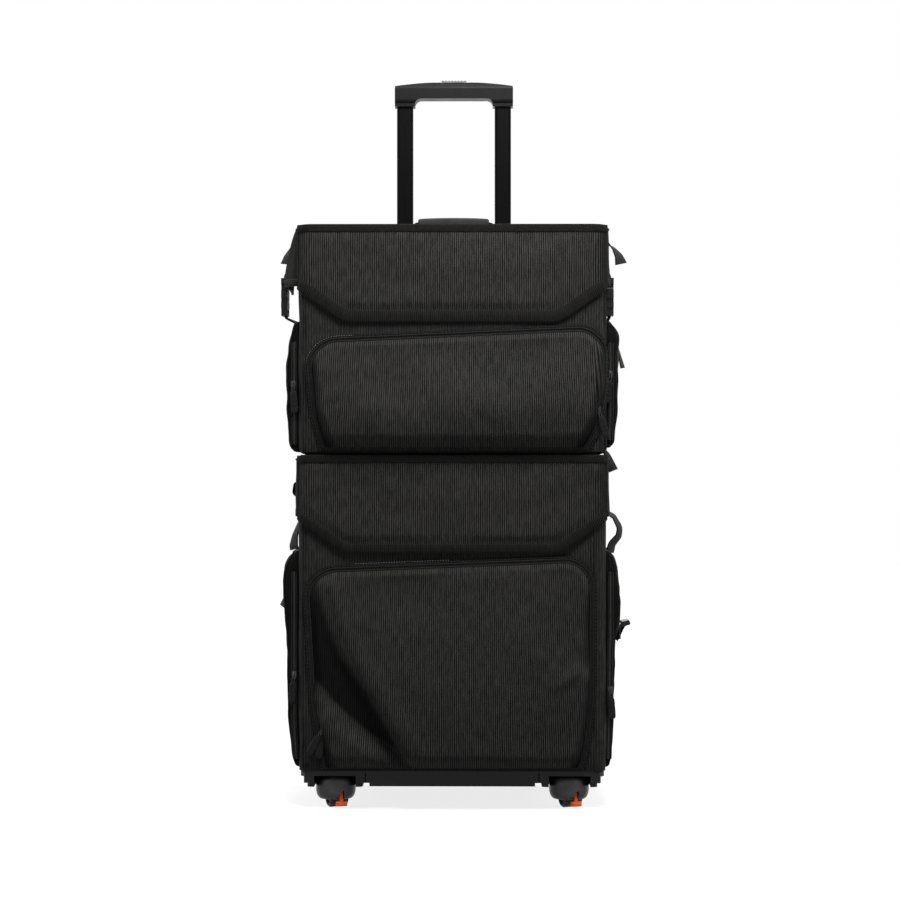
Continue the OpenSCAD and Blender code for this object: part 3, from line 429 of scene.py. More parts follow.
def repeat(name, shape, faces, at, x, y, z, look, body, **more):
    """Copies of a small shape, one at each point, with its axes along x, y and z."""
    verts = (at[:, None] + shape[None, :, :1] * x[:, None] + shape[None, :, 1:2] * y[:, None]
             + shape[None, :, 2:] * z[:, None])
    faces = np.asarray(faces)[None] + (np.arange(len(at)) * len(shape))[:, None, None]
    return piece(name, verts.reshape(-1, 3), faces.reshape(-1, faces.shape[-1]), look, body,
                 **more)


def grain(length, r, n=5):
    """A stitch: a short thread with rounded ends."""
    a = np.arange(n) * 2 * math.pi / n
    rows = [(-.5, .25), (-.36, 1), (.36, 1), (.5, .25)]
    pts = [(x * length, k * r * math.cos(t), k * r * math.sin(t)) for x, k in rows for t in a]
    return np.array(pts), grid_faces(4, n, True)


def stitches(name, line, out, body, side=0.0, length=.0030, gap=.0016, r=.00028, look=None):
    """A row of stitches beside a line that lies on a surface facing out."""
    line = np.asarray(line, float)
    up = np.broadcast_to(out, line.shape) * 1.0
    both = resample(np.hstack([line + sides(line, up) * side, up]), length + gap)
    line, up = both[:, :3], unit(both[:, 3:])
    way = unit(np.gradient(line, axis=0))
    shape, faces = grain(length, r)
    return repeat(name, shape, faces, line, way, unit(np.cross(up, way)), up,
                  look or THREAD, body, sharp=0)


def ring(x1, y0, y1, r):
    """Rounded rectangle in plan from the middle of its back, round by its left side."""
    r = max(r, 1e-4)
    def straight(a, b, n):
        return np.linspace(a, b, n, endpoint=False)
    def corner(cx, cy, a0, n=8):
        a = np.radians(np.linspace(a0, a0 + 90, n, endpoint=False))
        return np.stack([cx + r * np.cos(a), cy + r * np.sin(a)], 1)
    return np.vstack([
        straight((0, y1), (-x1 + r, y1), 14), corner(-x1 + r, y1 - r, 90),
        straight((-x1, y1 - r), (-x1, y0 + r), 24), corner(-x1 + r, y0 + r, 180),
        straight((-x1 + r, y0), (x1 - r, y0), 28), corner(x1 - r, y0 + r, 270),
        straight((x1, y0 + r), (x1, y1 - r), 24), corner(x1 - r, y1 - r, 0),
        straight((x1 - r, y1), (0, y1), 14)])


def loft(levels):
    """Grid of points through rings (x1, y0, y1, r, z)."""
    return np.stack([np.insert(ring(*level[:4]), 2, level[4], axis=1) for level in levels])


# Bag bodies

def puff(points, amount, seed, size=.11):
    """Moves a loft's points in and out like padded cloth over board."""
    plan = points.copy()
    plan[..., 2] = 0
    side = np.roll(plan, -1, 1) - np.roll(plan, 1, 1)
    out = np.stack([side[..., 1], -side[..., 0], np.zeros(side.shape[:2])], -1)
    out = out / (np.linalg.norm(out, axis=-1, keepdims=True) + 1e-9)
    u = along(points, 1)
    return points - out * (amount * ripple(u, points[..., 2], seed, size))[..., None]


def bag_walls(name, back, z0, z1, body, node):
    """Outer wall, rim and inner wall of a bag as one lofted skin, with its floor."""
    rim = z1 - LID_T
    levels = []
    for inset, z in [((back - FRONT) / 2 - .0001, z0), (.05, z0), (.02, z0), (.008, z0 + .0003), (.003, z0 + .002),
                     (.0008, z0 + .005), (0, z0 + .009)]:
        levels.append((HALF_W - inset, FRONT + inset, back - inset, .014 - inset, z))
    for z in np.linspace(z0 + .02, rim - .006, 34):
        levels.append((HALF_W, FRONT, back, .014, z))
    for inset, z in [(.0002, rim - .003), (.001, rim - .001), (.0025, rim - .0003),
                     (.004, rim - .001), (.0048, rim - .003), (.005, rim - .008),
                     (.005, rim - .03), (.005, rim - .065)]:
        levels.append((HALF_W - inset, FRONT + inset, back - inset, .014 - inset, z))
    points = loft(levels)
    points[7:41] = puff(points[7:41], .0006, 5 if node[0] == "l" else 9)
    return grid(name, points, WALL, body, True, replaces=[node])


def piped_ring(name, level, body, r=.0019):
    """Piping cord round a bag at one height."""
    line = np.insert(ring(*level[:4]), 2, level[4], axis=1)
    line = np.vstack([line, line[:2]])
    return sweep(name, line, circle(r), (0, 0, 1), PLAIN, body)


def corner_piping(tag, z0, z1, body):
    """Cords up the two front edges, with the seam's stitches beside them."""
    for s, side in ((-1, "left"), (1, "right")):
        a = math.radians(40 if s < 0 else 68 if tag == "upper" else 2)
        x = s * (HALF_W - .014 + .014 * math.sin(a))
        y = FRONT + .014 - .014 * math.cos(a)
        z = np.linspace(z0, z1, 40)
        line = np.stack([np.full(40, x), np.full(40, y), z], 1)
        line[:, 0] += .0004 * ripple(z, z * 0, 3 + s, .08)
        sweep(f"{tag}_front_piping_{side}", line, circle(.0016), FRONT_OUT, PLAIN, body)
        line[:, 0] -= s * .0052
        line[:, 1] = FRONT - .0002
        stitches(f"{tag}_front_seam_{side}", line, FRONT_OUT, body, look=SEAM_THREAD)


def top_strip(name, y0, back, z1, body, hole=None):
    """Fixed cloth strip behind a lid, with a hole where the handle's bezel sits."""
    x1 = HALF_W
    def at(inset, z, r=.010):
        return x1 - inset, y0 + inset, back - inset, max(r - inset, .0005), z
    levels = [at(.0006, z1 - .0065), at(0, z1 - .004), at(.0003, z1 - .0018),
              at(.0015, z1 - .0004), at(.003, z1), at(.006, z1 + .0002)]
    if hole:
        x, ya, yb = hole
        levels += [(x + .004, ya - .003, yb + .003, .009, z1 + .0002), (x, ya, yb, .006, z1),
                   (x, ya, yb, .006, z1 - .006)]
    else:
        levels += [at(.012, z1 + .0003), at(.018, z1 + .0003), at((back - y0) / 2 - .0002, z1)]
    grid(name, loft(levels), NYLON, body, True)
    piped_ring(name + "_piping", at(.0005, z1 - .0062), body, .0016)


bag_walls("upper_bag_walls", UPPER_BACK, LOWER_TOP, UPPER_TOP, "upper_bag", "upper_shell")
bag_walls("lower_bag_walls", BACK, TRAY_TOP - .004, LOWER_TOP, "trolley", "lower_shell")
for tag, back, z0, z1, body in (("upper", UPPER_BACK, LOWER_TOP, UPPER_TOP, "upper_bag"),
                                ("lower", BACK, TRAY_TOP - .004, LOWER_TOP, "trolley")):
    piped_ring(f"{tag}_bottom_piping", (HALF_W - .0016, FRONT + .0017, back - .0016, .0125,
                                        z0 + .0045), body, .0014)
    corner_piping(tag, z0 + .006, z1 - LID_T - .004, body)
top_strip("upper_top_strip", UPPER_HINGE + .0004, UPPER_BACK, UPPER_TOP, "upper_bag")
top_strip("lower_top_strip", LOWER_HINGE + .0004, BACK, LOWER_TOP, "trolley",
          (.0885, .1000, .1350))


# Lids and drops

SKIRT_X = .1883
UPPER_FLARE = .0150


def lid(tag, top, hinge, flare, body, node):
    """Padded lid with a piped front edge strip and a skirt at either side."""
    low = top - LID_T
    def at(inset, z, side=0.0):
        return (SKIRT_X - inset - side, FRONT - .0026 + inset, hinge - inset,
                max(.0165 - inset, .0005), z)
    half = (hinge - FRONT + .0026) / 2
    levels = [at(half - .00002, low), at(.05, low), at(.02, low), at(.006, low), at(.001, low),
              at(0, low + .0008), at(-.0002, low + .002, .0006), at(0, low + .0036, .0018),
              at(.0002, low + .0049, .0040), at(.0012, top - .0003, .0060), at(.0030, top, .0085)]
    levels += [at(d, top, .0085) for d in np.linspace(.006, half - .00002, 16)]
    points = loft(levels)
    x, y = points[11:, :, 0], points[11:, :, 1]
    inner = smooth(np.minimum.reduce([SKIRT_X - abs(x), y - FRONT, hinge - y]), 0, .03)
    points[11:, :, 2] += inner * (.0006 * ripple(x, y, 21, .12) - .0004)
    grid(f"{tag}_lid_panel", points, CALICO, body, True, replaces=[node])
    for k, (inset, z, side) in enumerate([(.0002, low + .0006, 0), (.0008, top - .0010, .0054)]):
        line = np.insert(ring(*at(inset, z, side)[:4]), 2, z, axis=1)
        line = line[line[:, 1] < hinge - .016]
        sweep(f"{tag}_lid_piping_{k}", line, circle(.0013), (0, 0, 1), PLAIN, body)
    for s, side in ((-1, "left"), (1, "right")):
        skirt(f"{tag}_skirt_{side}", s, top, hinge, flare if s < 0 else 0, body)


FACE_R, SEAM = .0145, .1857


def bend(u, z, out):
    """Point u along the bag's face and z up, standing off by out; round the front corners too."""
    turn = np.clip(np.abs(u) - (HALF_W - FACE_R), 0, None) / FACE_R
    x = np.sign(u) * (np.minimum(np.abs(u), HALF_W - FACE_R) + (FACE_R + out) * np.sin(turn))
    y = FRONT + FACE_R - (FACE_R + out) * np.cos(turn)
    return np.stack(np.broadcast_arrays(x, y, z), -1)


def facing(u):
    """Way that the bag's face looks at u along it."""
    turn = np.clip(np.abs(u) - (HALF_W - FACE_R), 0, None) / FACE_R
    return np.stack([np.sign(u) * np.sin(turn), -np.cos(turn), 0 * turn], -1)


def skirt_x(q, flare):
    """Half width of the lid's side at the share q of its drop."""
    return SKIRT_X - .0016 + (flare + .0012) * (1 - (1 - q) ** 1.8)


def skirt(name, s, top, hinge, flare, body):
    """Side of a lid: hangs from its edge, leans out, and turns in to the drop's seam."""
    drop = .0715
    seam_x, seam_y = bend(np.array(SEAM), 0, .0028)[:2]
    plan = []
    levels = np.linspace(0, 1, 24)
    w = np.linspace(1, 0, 12)
    for q in levels:
        x = max(float(skirt_x(q, flare)), seam_x + .0006)
        wide, deep = x - seam_x, .004 + 1.25 * (x - seam_x)
        straight = np.stack([np.full(44, x), np.linspace(hinge - .001, seam_y + deep, 44)], 1)
        turned = np.stack([seam_x + wide * w ** .8, seam_y + deep * w ** 1.25], 1)
        plan.append(np.vstack([straight, turned[1:]]))
    plan = np.array(plan)
    q = levels[:, None]
    height = (top - .0040) - (drop - .0026) * q * (1 + .02 * np.sin(plan[..., 1] * 60 + s)
                                         * smooth(plan[..., 1], FRONT + .02, FRONT + .05))
    points = np.concatenate([plan * [s, 1], height[..., None]], -1)
    points[..., 0] += (s * .0009 * smooth(q, 0, .3) * smooth(plan[..., 1], seam_y, seam_y + .01)
                       * ripple(plan[..., 1], height, 31 + s, .06))
    ob = grid(name, points, CALICO, body)
    thick = ob.modifiers.new("thickness", "SOLIDIFY")
    thick.thickness = .0026
    thick.offset = 0
    edge = points[-1]
    out = -s * unit(np.cross(np.gradient(edge, axis=0), [0, 0, 1.]))
    band = np.array([(-.0008, -.0014), (-.0012, 0), (-.0008, .0014), (.0004, .0017),
                     (.0080, .0016), (.0086, .0010), (.0086, -.0014)])
    sweep(name + "_binding", edge, band[::-s] * [-s, 1], out, BAND, body)


def drop_line(inset=0.0):
    """Free edge of a drop from its left seam to its right, along the face and below its top."""
    side, low, flat = -.0755 + inset * .8, -.115 + inset, .130 - inset * .3
    return rounded([(-SEAM, side), (-flat, low), (flat, low), (SEAM, side)], [.034, .034],
                   .002)


def hanging_drop(tag, top, body, node, seed, band_w):
    """Front flap that hangs from the lid: puffed cloth with its low edge bound."""
    start = top - .0056
    edge = drop_line()
    edge[:, 1] += .0042
    u = SEAM * np.sin(np.linspace(-1, 1, 170) * 1.5) / math.sin(1.5)
    bottom = np.interp(u, edge[:, 0], edge[:, 1])
    z = bottom[None] * np.linspace(0, 1, 64)[:, None]
    u = np.broadcast_to(u, z.shape)
    def off(u, z):
        return .0028 + smooth(-z, .05, .108) * (.0020 + .0013 * np.cos(u * 9 + seed))
    low = smooth(distance(u, z, edge), band_w - .001, band_w + .012)
    inner = smooth(SEAM - np.abs(u), .002, .016) * low * smooth(-z, .001, .014)
    out = off(u, z) + inner * (.0012 + .0022 * smooth(-z, 0, .05) * smooth(SEAM - np.abs(u), 0, .08)
                               + .0008 * ripple(u, z, seed, .10)
                               + .0003 * ripple(u, z, seed + 1, .035))
    points = bend(u, start + z, out)
    uv = np.stack([u, z], -1)
    panel = grid(f"{tag}_drop_panel", points, PANEL, body, replaces=[node], uv=uv)
    # painted shade: the drop's cloth darker near its right edge and a little near its left, where it turns away
    shaded(panel, 1 - .55 * smooth(u, .168, .184) - .20 * smooth(-u, .176, .185))
    thick = panel.modifiers.new("thickness", "SOLIDIFY")
    thick.thickness = .0020
    thick.offset = 1
    line = bend(edge[:, 0], start + edge[:, 1], off(edge[:, 0], edge[:, 1]))
    face = facing(edge[:, 0])
    b = band_w
    band = [(-.0013, -.0010), (-.0010, .0004), (.0004, .0010), (b * .5, .0012), (b - .0008, .0010),
            (b, .0002), (b, -.0024), (.0006, -.0024)]
    sweep(f"{tag}_drop_binding", line, band, face, BAND, body, crossed=True)
    for k, at in enumerate((.0020, b - .0018)):
        stitches(f"{tag}_drop_stitches_{k}", line[3:-3] + face[3:-3] * .0011, face[3:-3], body,
                 side=at, r=.00022, look=SEAM_THREAD)
    for s, side in ((-1, "left"), (1, "right")):
        z = np.linspace(-.0005, edge[0, 1] + .002, 36)
        line = bend(np.full(36, s * SEAM), start + z, .0030 + 0 * z)
        sweep(f"{tag}_drop_seam_{side}", line, circle(.0013), (s * .7, -.7, 0), PLAIN, body)
        line = bend(np.full(36, s * (SEAM - .0042)), start + z, .0041 + 0 * z)
        stitches(f"{tag}_drop_side_stitches_{side}", line, (s * .45, -.9, 0), body, r=.0002,
                 look=SEAM_THREAD)


def hinge_strip(tag, top):
    """Cloth over the fold between a lid's front edge and its drop."""
    high, low, out = top - .0006, top - .0090, .0040
    z = np.linspace(high, low, 15)
    front = np.stack([z, out + .0004 * np.sin(np.linspace(0, math.pi, 15))], 1)
    back = np.stack([z[::-1], np.full(15, out - .0014)], 1)
    profile = np.vstack([front, back]) - [(high + low) / 2, 0]
    u = np.linspace(-SEAM, SEAM, 140)
    line = bend(u, np.full(140, (high + low) / 2), 0)
    ob = sweep(f"{tag}_hinge_strip", line, profile, facing(u), CALICO, None, sharp=40)
    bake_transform(ob)


lid("upper", UPPER_TOP, UPPER_HINGE, UPPER_FLARE, "top_lid", "upper_lid")
lid("lower", LOWER_TOP, LOWER_HINGE, 0, "middle_lid", "lower_lid")
hanging_drop("upper", UPPER_TOP, "top_drop", "upper_drop", 40, .0125)
hanging_drop("lower", LOWER_TOP, "middle_drop", "lower_drop", 57, .0100)
hinge_strip("upper", UPPER_TOP)
hinge_strip("lower", LOWER_TOP)


# Front pockets

# Foot and height of each front pocket, how much its top rises to the right, where its seam's
# thread is painted bright as glints (painted highlight), and its left and right edges as (x, height) from the foot
# up.
POCKETS = {
    "upper": dict(z0=.4335, h=.1337, tilt=.044, body="upper_bag", own="pocket_upper",
                  glint=(-.169, -.118), glint_at=.0066,
                  left=[(-.1524, 0), (-.1635, .0415), (-.1730, .1337)],
                  right=[(.1580, 0), (.1722, .0235), (.1812, .0690), (.1816, .1337)]),
    "lower": dict(z0=.0496, h=.2411, tilt=.040, body="trolley", own="pocket_lower",
                  glint=(-.118, -.002), glint_at=.0084,
                  left=[(-.1502, 0), (-.1565, .0270), (-.1645, .0840), (-.1735, .2411)],
                  right=[(.1510, 0), (.1580, .0210), (.1650, .0790), (.1668, .1470),
                         (.1655, .2411)]),
}
POCKET_R, KNEE_R = .032, .060


def pocket_line(p, step=.003):
    """Outline of a front pocket from its left foot over the top to its right foot."""
    radii = ([KNEE_R] * (len(p["left"]) - 2) + [POCKET_R, POCKET_R]
             + [KNEE_R] * (len(p["right"]) - 2))
    return rounded(p["left"] + p["right"][::-1], radii, step)


def raised(p, x, z):
    """Height above the floor of a point of a front pocket, with the pocket's tilt."""
    return p["z0"] + z + p["tilt"] * x * z / p["h"]


# Edges of the dark slanting face at the lower pocket's left, as (height, x).
BULGE_EDGE = [(0, -.046), (.0207, -.0560), (.0355, -.0635), (.0611, -.0780), (.0905, -.0945),
              (.1163, -.1110), (.1365, -.1258), (.1696, -.1404), (.2063, -.1530), (.24, -.160)]
FOOT_EDGE = [(0, -.050), (.0207, -.0622), (.0262, -.0714), (.0355, -.0860), (.0447, -.1008),
             (.0575, -.1154), (.0704, -.1302), (.0814, -.1412), (.0961, -.1523),
             (.1071, -.1620), (.116, -.175)]


def pocket_relief(tag, x, z):
    """Wrinkles, dents and folds of a pocket's panel, in metres outwards."""
    if tag == "upper":
        r = .0010 * ripple(x, z, 71, .13) + .0004 * ripple(x, z, 72, .05)
        r = r + fold(x, z, (-.103, .004), (-.094, .024), .0035, -.0022)
        r = r + fold(x, z, (-.092, .004), (-.084, .030), .005, .0012)
        r = r + fold(x, z, (-.05, .10), (.06, .045), .022, .0018)
        r = r + fold(x, z, (-.08, .07), (-.02, .035), .016, -.0016)
        return r + fold(x, z, (.03, .085), (.10, .02), .02, -.0012)
    r = .0012 * ripple(x, z, 81, .16) + .0004 * ripple(x, z, 82, .06)
    r = r + fold(x, z, (-.142, .048), (-.146, .004), .0045, -.0045)
    r = r + fold(x, z, (.160, .116), (.124, .098), .007, .0045)
    r = r + fold(x, z, (.156, .088), (.140, .034), .009, -.0030)
    bulge = np.interp(z, *np.transpose(BULGE_EDGE))
    r = r + .0055 * np.exp(-((x - bulge - .012) / .013) ** 2) * smooth(z, .0, .06)
    return r + fold(x, z, (.02, .22), (.12, .12), .03, .0016)


def slack_corner(x, z, out, edge_x):
    """Where the lower pocket's stuffed part ends, its cloth falls away to a valley and
    rises again as a facet at the foot."""
    bulge = np.interp(z, *np.transpose(BULGE_EDGE))
    valley = np.interp(z, *np.transpose(FOOT_EDGE))
    wall = np.maximum(valley, edge_x)
    share = (.72 * smooth(bulge - x, 0, .013)
             + .28 * np.clip((bulge - x) / np.maximum(bulge - wall, .003), 0, 1))
    fall = out * (1 - share) + .0034 * share
    rise = smooth(valley - x, -.002, .046)
    facet = .0034 + (np.maximum(out, .0034) - .0034) * .85 * rise
    low = np.where(x < valley, facet, np.minimum(fall, out))
    for _ in range(3):
        low[1:-1, 1:-1] = (low[1:-1, 1:-1] * 2 + low[:-2, 1:-1] + low[2:, 1:-1]
                           + low[1:-1, :-2] + low[1:-1, 2:]) / 6
    return low


def painted_light_share(tag, x, z, away, low):
    """Share of painted light on a pocket's cloth: painted shade, less light, in its gusset and on the slanting
    face.
    """
    gusset = 1 - smooth(away, .0035 + .002 * low, .0105 + .004 * low)
    gusset = gusset * smooth(low, .10, .26)
    if tag == "upper":
        return 1 - .78 * gusset
    bulge = np.interp(z, *np.transpose(BULGE_EDGE))
    valley = np.interp(z, *np.transpose(FOOT_EDGE))
    slant = smooth(bulge - x, -.001, .015) * smooth(x - valley, -.004, .003)
    facet = np.exp(-((z - .078) / .024) ** 4) * (x < 0)
    wrinkle = np.exp(-((z - .112) / .009) ** 2) * (x > 0)
    return (1 - .78 * gusset * (1 - facet) * (1 - .9 * wrinkle)) * (1 - .76 * slant)


def front_pocket(tag):
    """Bellows pocket: thin at its top, deep at its foot, with zip lips round it."""
    p = POCKETS[tag]
    h = p["h"]
    edge = pocket_line(p)
    middle = len(edge) // 2
    # rows and columns close up towards the edges
    z = h * (.5 - .5 * np.cos(math.pi * np.arange(151) / 150))
    left = np.interp(z, edge[:middle, 1], edge[:middle, 0])[:, None]
    right = np.interp(z, edge[:middle:-1, 1], edge[:middle:-1, 0])[:, None]
    x = left + (right - left) * (.5 + .5 * np.sin(np.linspace(-1, 1, 201) * math.pi / 2))
    z = np.broadcast_to(z[:, None], x.shape)
    away = distance(x, z, edge)
    low = 1 - z / h
    tuck = .0055 if tag == "upper" else .0015
    depth = .0085 + .0155 * smooth(low, .0, .80) - tuck * smooth(low, .62, 1)
    rise = 1 - (1 - np.clip(away / (.0080 + .0050 * low), 0, 1)) ** 1.6
    foot = 1 - (1 - np.clip(z / .018, 0, 1)) ** 2.2
    inside = smooth(np.minimum(away, z), .004, .018)
    out = (depth * rise + .0045 * smooth(away, 0, .09)) * (.25 + .75 * foot)
    out = out + inside * pocket_relief(tag, x, z)
    out = np.maximum(out, .0030 * rise)
    if tag == "lower":
        out = slack_corner(x, z, out, left)
    points = bend(x, raised(p, x, z) + .0006, out + .0006)
    uv = np.stack([x + z * x * .25, z], -1)
    panel = grid(f"{tag}_pocket_panel", points, PANEL, p["own"], uv=uv,
                 replaces=[f"{tag}_pocket"])
    # painted shade: darker cloth in the pocket's gussets and on its slanting face
    shaded(panel, painted_light_share(tag, x, z, away, low))
    panel.data.materials.append(LINING.mat)
    thick = panel.modifiers.new("thickness", "SOLIDIFY")
    thick.thickness = .0026
    thick.offset = -1
    thick.material_offset = 1
    face = facing(edge[:, 0])
    line = bend(edge[:, 0], raised(p, edge[:, 0], edge[:, 1]), .0012)
    away = sides(line, face)
    # inner lip, on the pocket
    sweep(f"{tag}_pocket_lip", line + face * .0012, circle(.0011, 12), face, PLAIN, p["own"])
    # tape, teeth and outer lip, on the bag
    body = p["body"]
    tape = [(.0012, -.0010), (.0012, .0004), (.0046, .0004), (.0070, .0009), (.0078, .0004),
            (.0078, -.0010)]
    sweep(f"{tag}_zip_tape", line + face * .0004, tape, face, TAPE, body,
          replaces=[f"{tag}_front_zip"])
    sweep(f"{tag}_zip_lip", line + away * .0039 + face * .0013, circle(.0011, 12), face, PLAIN,
          body)
    stitches(f"{tag}_zip_stitches", line + face * .0013, face, body, side=.0064, r=.00026)
    # a run of bright stitches: painted highlights where the thread catches the light
    a, b = p["glint"]
    glint = (edge[:, 1] > p["h"] * .80) & (edge[:, 0] > a) & (edge[:, 0] < b)
    stitches(f"{tag}_painted_glint_stitches", (line + face * .0014)[glint], face[glint], body,
             side=p["glint_at"], length=.0013, gap=.0018, r=.00034, look=GLINT_THREAD)
    teeth(f"{tag}_zip_teeth", line + face * .0008, .0020, body, COIL, face)


def box_shape(x, y, z):
    """Small block with its edges cut, centred on the origin."""
    c = .8
    pts = [(sx * x / 2 * (c if sz > 0 else 1), sy * y / 2 * (c if sz > 0 else 1), sz * z / 2)
           for sz in (-1, 1) for sx, sy in ((-1, -1), (1, -1), (1, 1), (-1, 1))]
    faces = [(0, 1, 5, 4), (1, 2, 6, 5), (2, 3, 7, 6), (3, 0, 4, 7), (4, 5, 6, 7), (3, 2, 1, 0)]
    return np.array(pts), np.array(faces)


def teeth(name, line, side, body, look, out=FRONT_OUT, pitch=.0016):
    """The two rows of a zip's teeth, meshed along a line."""
    up = np.broadcast_to(out, line.shape) * 1.0
    both = resample(np.hstack([line + sides(line, up) * side, up]), pitch / 2)
    line, up = both[:, :3], unit(both[:, 3:])
    way = unit(np.gradient(line, axis=0))
    across = unit(np.cross(up, way))
    shift = np.where(np.arange(len(line)) % 2, 1, -1)[:, None] * .0006
    shape, faces = box_shape(.0008, .0021, .0010)
    repeat(name, shape, faces, line + across * shift, way, across, up, look, body, sharp=20)


for tag in POCKETS:
    front_pocket(tag)


# Side pockets

SIDE_Y0, SIDE_Y1 = -.096, .069
# How far each side pocket stands out at a few heights.
REACH = {
    "upper_side_pocket_left": [
        (.4280, 0), (.4295, .0072), (.4335, .0114), (.4410, .0141), (.494, .0150),
        (.5347, .0147), (.5556, .0135), (.5700, .0098), (.5830, .0078), (.5862, 0)],
    "upper_side_pocket_right": [
        (.433, 0), (.4345, .006), (.440, .0106), (.469, .0128), (.520, .0155), (.5388, .0160),
        (.560, .0158), (.572, .0148), (.581, .0100), (.5855, .004), (.587, 0)],
    "lower_side_pocket_left": [
        (.049, 0), (.050, .004), (.0636, .0090), (.0948, .0130), (.1404, .0144), (.186, .0152),
        (.235, .0174), (.2568, .0206), (.275, .0203), (.289, .0186), (.299, .0150),
        (.306, .0095), (.3095, .004), (.310, 0)],
    "lower_side_pocket_right": [
        (.049, 0), (.050, .004), (.060, .0070), (.115, .0099), (.199, .0118), (.2208, .0168),
        (.245, .0174), (.260, .0168), (.290, .0150), (.301, .0115), (.308, .0055), (.310, 0)],
}


def side_reach(name, z):
    """Outline of a side pocket, with the corners of its few points eased."""
    at, out = np.transpose(REACH[name])
    fine = np.linspace(at[0], at[-1], 400)
    curve = np.interp(fine, at, out)
    eased = np.convolve(np.pad(curve, 9, "edge"), np.ones(19) / 19, "valid")
    ends = np.minimum(smooth(fine, at[0], at[0] + .006), smooth(-fine, -at[-1], .006 - at[-1]))
    return np.interp(z, fine, curve * (1 - ends) + eased * ends)


def side_pocket(tag, s, body, seed):
    """Stuffed side pocket: round shoulder, drawn in at its foot, piped round its face."""
    name = f"{tag}_side_pocket_{'left' if s < 0 else 'right'}"
    z0, z1 = REACH[name][0][0], REACH[name][-1][0]
    z = z0 + (z1 - z0) * (.5 - .5 * np.cos(math.pi * np.arange(91) / 90))
    reach = side_reach(name, z)
    rows = []
    arc = np.radians(np.linspace(0, 90, 8))
    for d in reach:
        rc = min(.0085, d * .8) + 1e-5
        y0, y1 = SIDE_Y0, SIDE_Y1
        front = np.stack([np.linspace(0, d - rc, 7), np.full(7, y0)], 1)
        a = np.stack([d - rc + rc * np.sin(arc), y0 + rc - rc * np.cos(arc)], 1)
        face = np.stack([np.full(40, d), np.linspace(y0 + rc, y1 - rc, 40)], 1)
        b = np.stack([d - rc + rc * np.cos(arc), y1 - rc + rc * np.sin(arc)], 1)
        rear = np.stack([np.linspace(d - rc, 0, 7), np.full(7, y1)], 1)
        rows.append(np.vstack([front[:-1], a, face[1:-1], b, rear[1:]]))
    plan = np.array(rows)
    zz = np.broadcast_to(z[:, None], plan.shape[:2])
    y = plan[..., 1]
    out = smooth(plan[..., 0], 0, .012)
    middle = np.sin(math.pi * np.clip((y - SIDE_Y0) / (SIDE_Y1 - SIDE_Y0), 0, 1))
    x = plan[..., 0] + out * (.0012 * middle * smooth(zz, z0, z0 + .03)
                              + .0008 * ripple(y, zz, seed, .07)
                              + .0004 * ripple(y, zz, seed + 1, .03))
    y = y + (.0006 - .0004 * ripple(x, zz, seed + 2, .05)) * (y < SIDE_Y0 + .004)
    points = np.stack([s * (HALF_W + x), y, zz], -1)
    ob = grid(name + "_cloth", points, SIDE, body, replaces=[name])
    # painted shade: the front gusset's cloth darkened, down to .24, where it turns away from the front
    shaded(ob, .24 + .76 * smooth(np.broadcast_to(plan[..., 1], zz.shape), SIDE_Y0 + .002,
                                  SIDE_Y0 + .024))
    jf, jb = 6 + 4, plan.shape[1] - 6 - 5
    top = 84
    line = np.vstack([points[3:top, jf], points[top, jf:jb], points[3:top, jb][::-1]])
    line = resample(line, .003)
    kernel = np.ones(5) / 5
    smoothed = np.stack([np.convolve(np.pad(line[:, k], 2, "edge"), kernel, "valid")
                         for k in range(3)], 1)
    out = np.array([s, 0, 0.])
    sweep(name + "_piping", smoothed, circle(.0015), out, BAND, body)
    # zip up the front gusset
    zz = np.arange(z0 + .010, z1 - .024, .003)
    x = s * (HALF_W + np.minimum(.0056, np.interp(zz, z, reach) * .42))
    line = np.stack([x, np.full(len(zz), SIDE_Y0 - .0006), zz], 1)
    tape = [(-.0042, 0), (-.0038, .0006), (.0038, .0006), (.0042, 0), (.0042, -.001),
            (-.0042, -.001)]
    sweep(name + "_tape", line, tape, FRONT_OUT, TAPE, body)
    for k in (-1, 1):
        sweep(f"{name}_lip_{'in' if k < 0 else 'out'}", line + [k * .0028, -.0006, 0],
              circle(.0009, 8), FRONT_OUT, BAND, body)
    teeth(name + "_teeth", line + FRONT_OUT * .0009, 0, body, DULL)


side_pocket("upper", -1, "upper_bag", 101)
side_pocket("upper", 1, "upper_bag", 111)
side_pocket("lower", -1, "trolley", 121)
side_pocket("lower", 1, "trolley", 131)


# Zip sliders

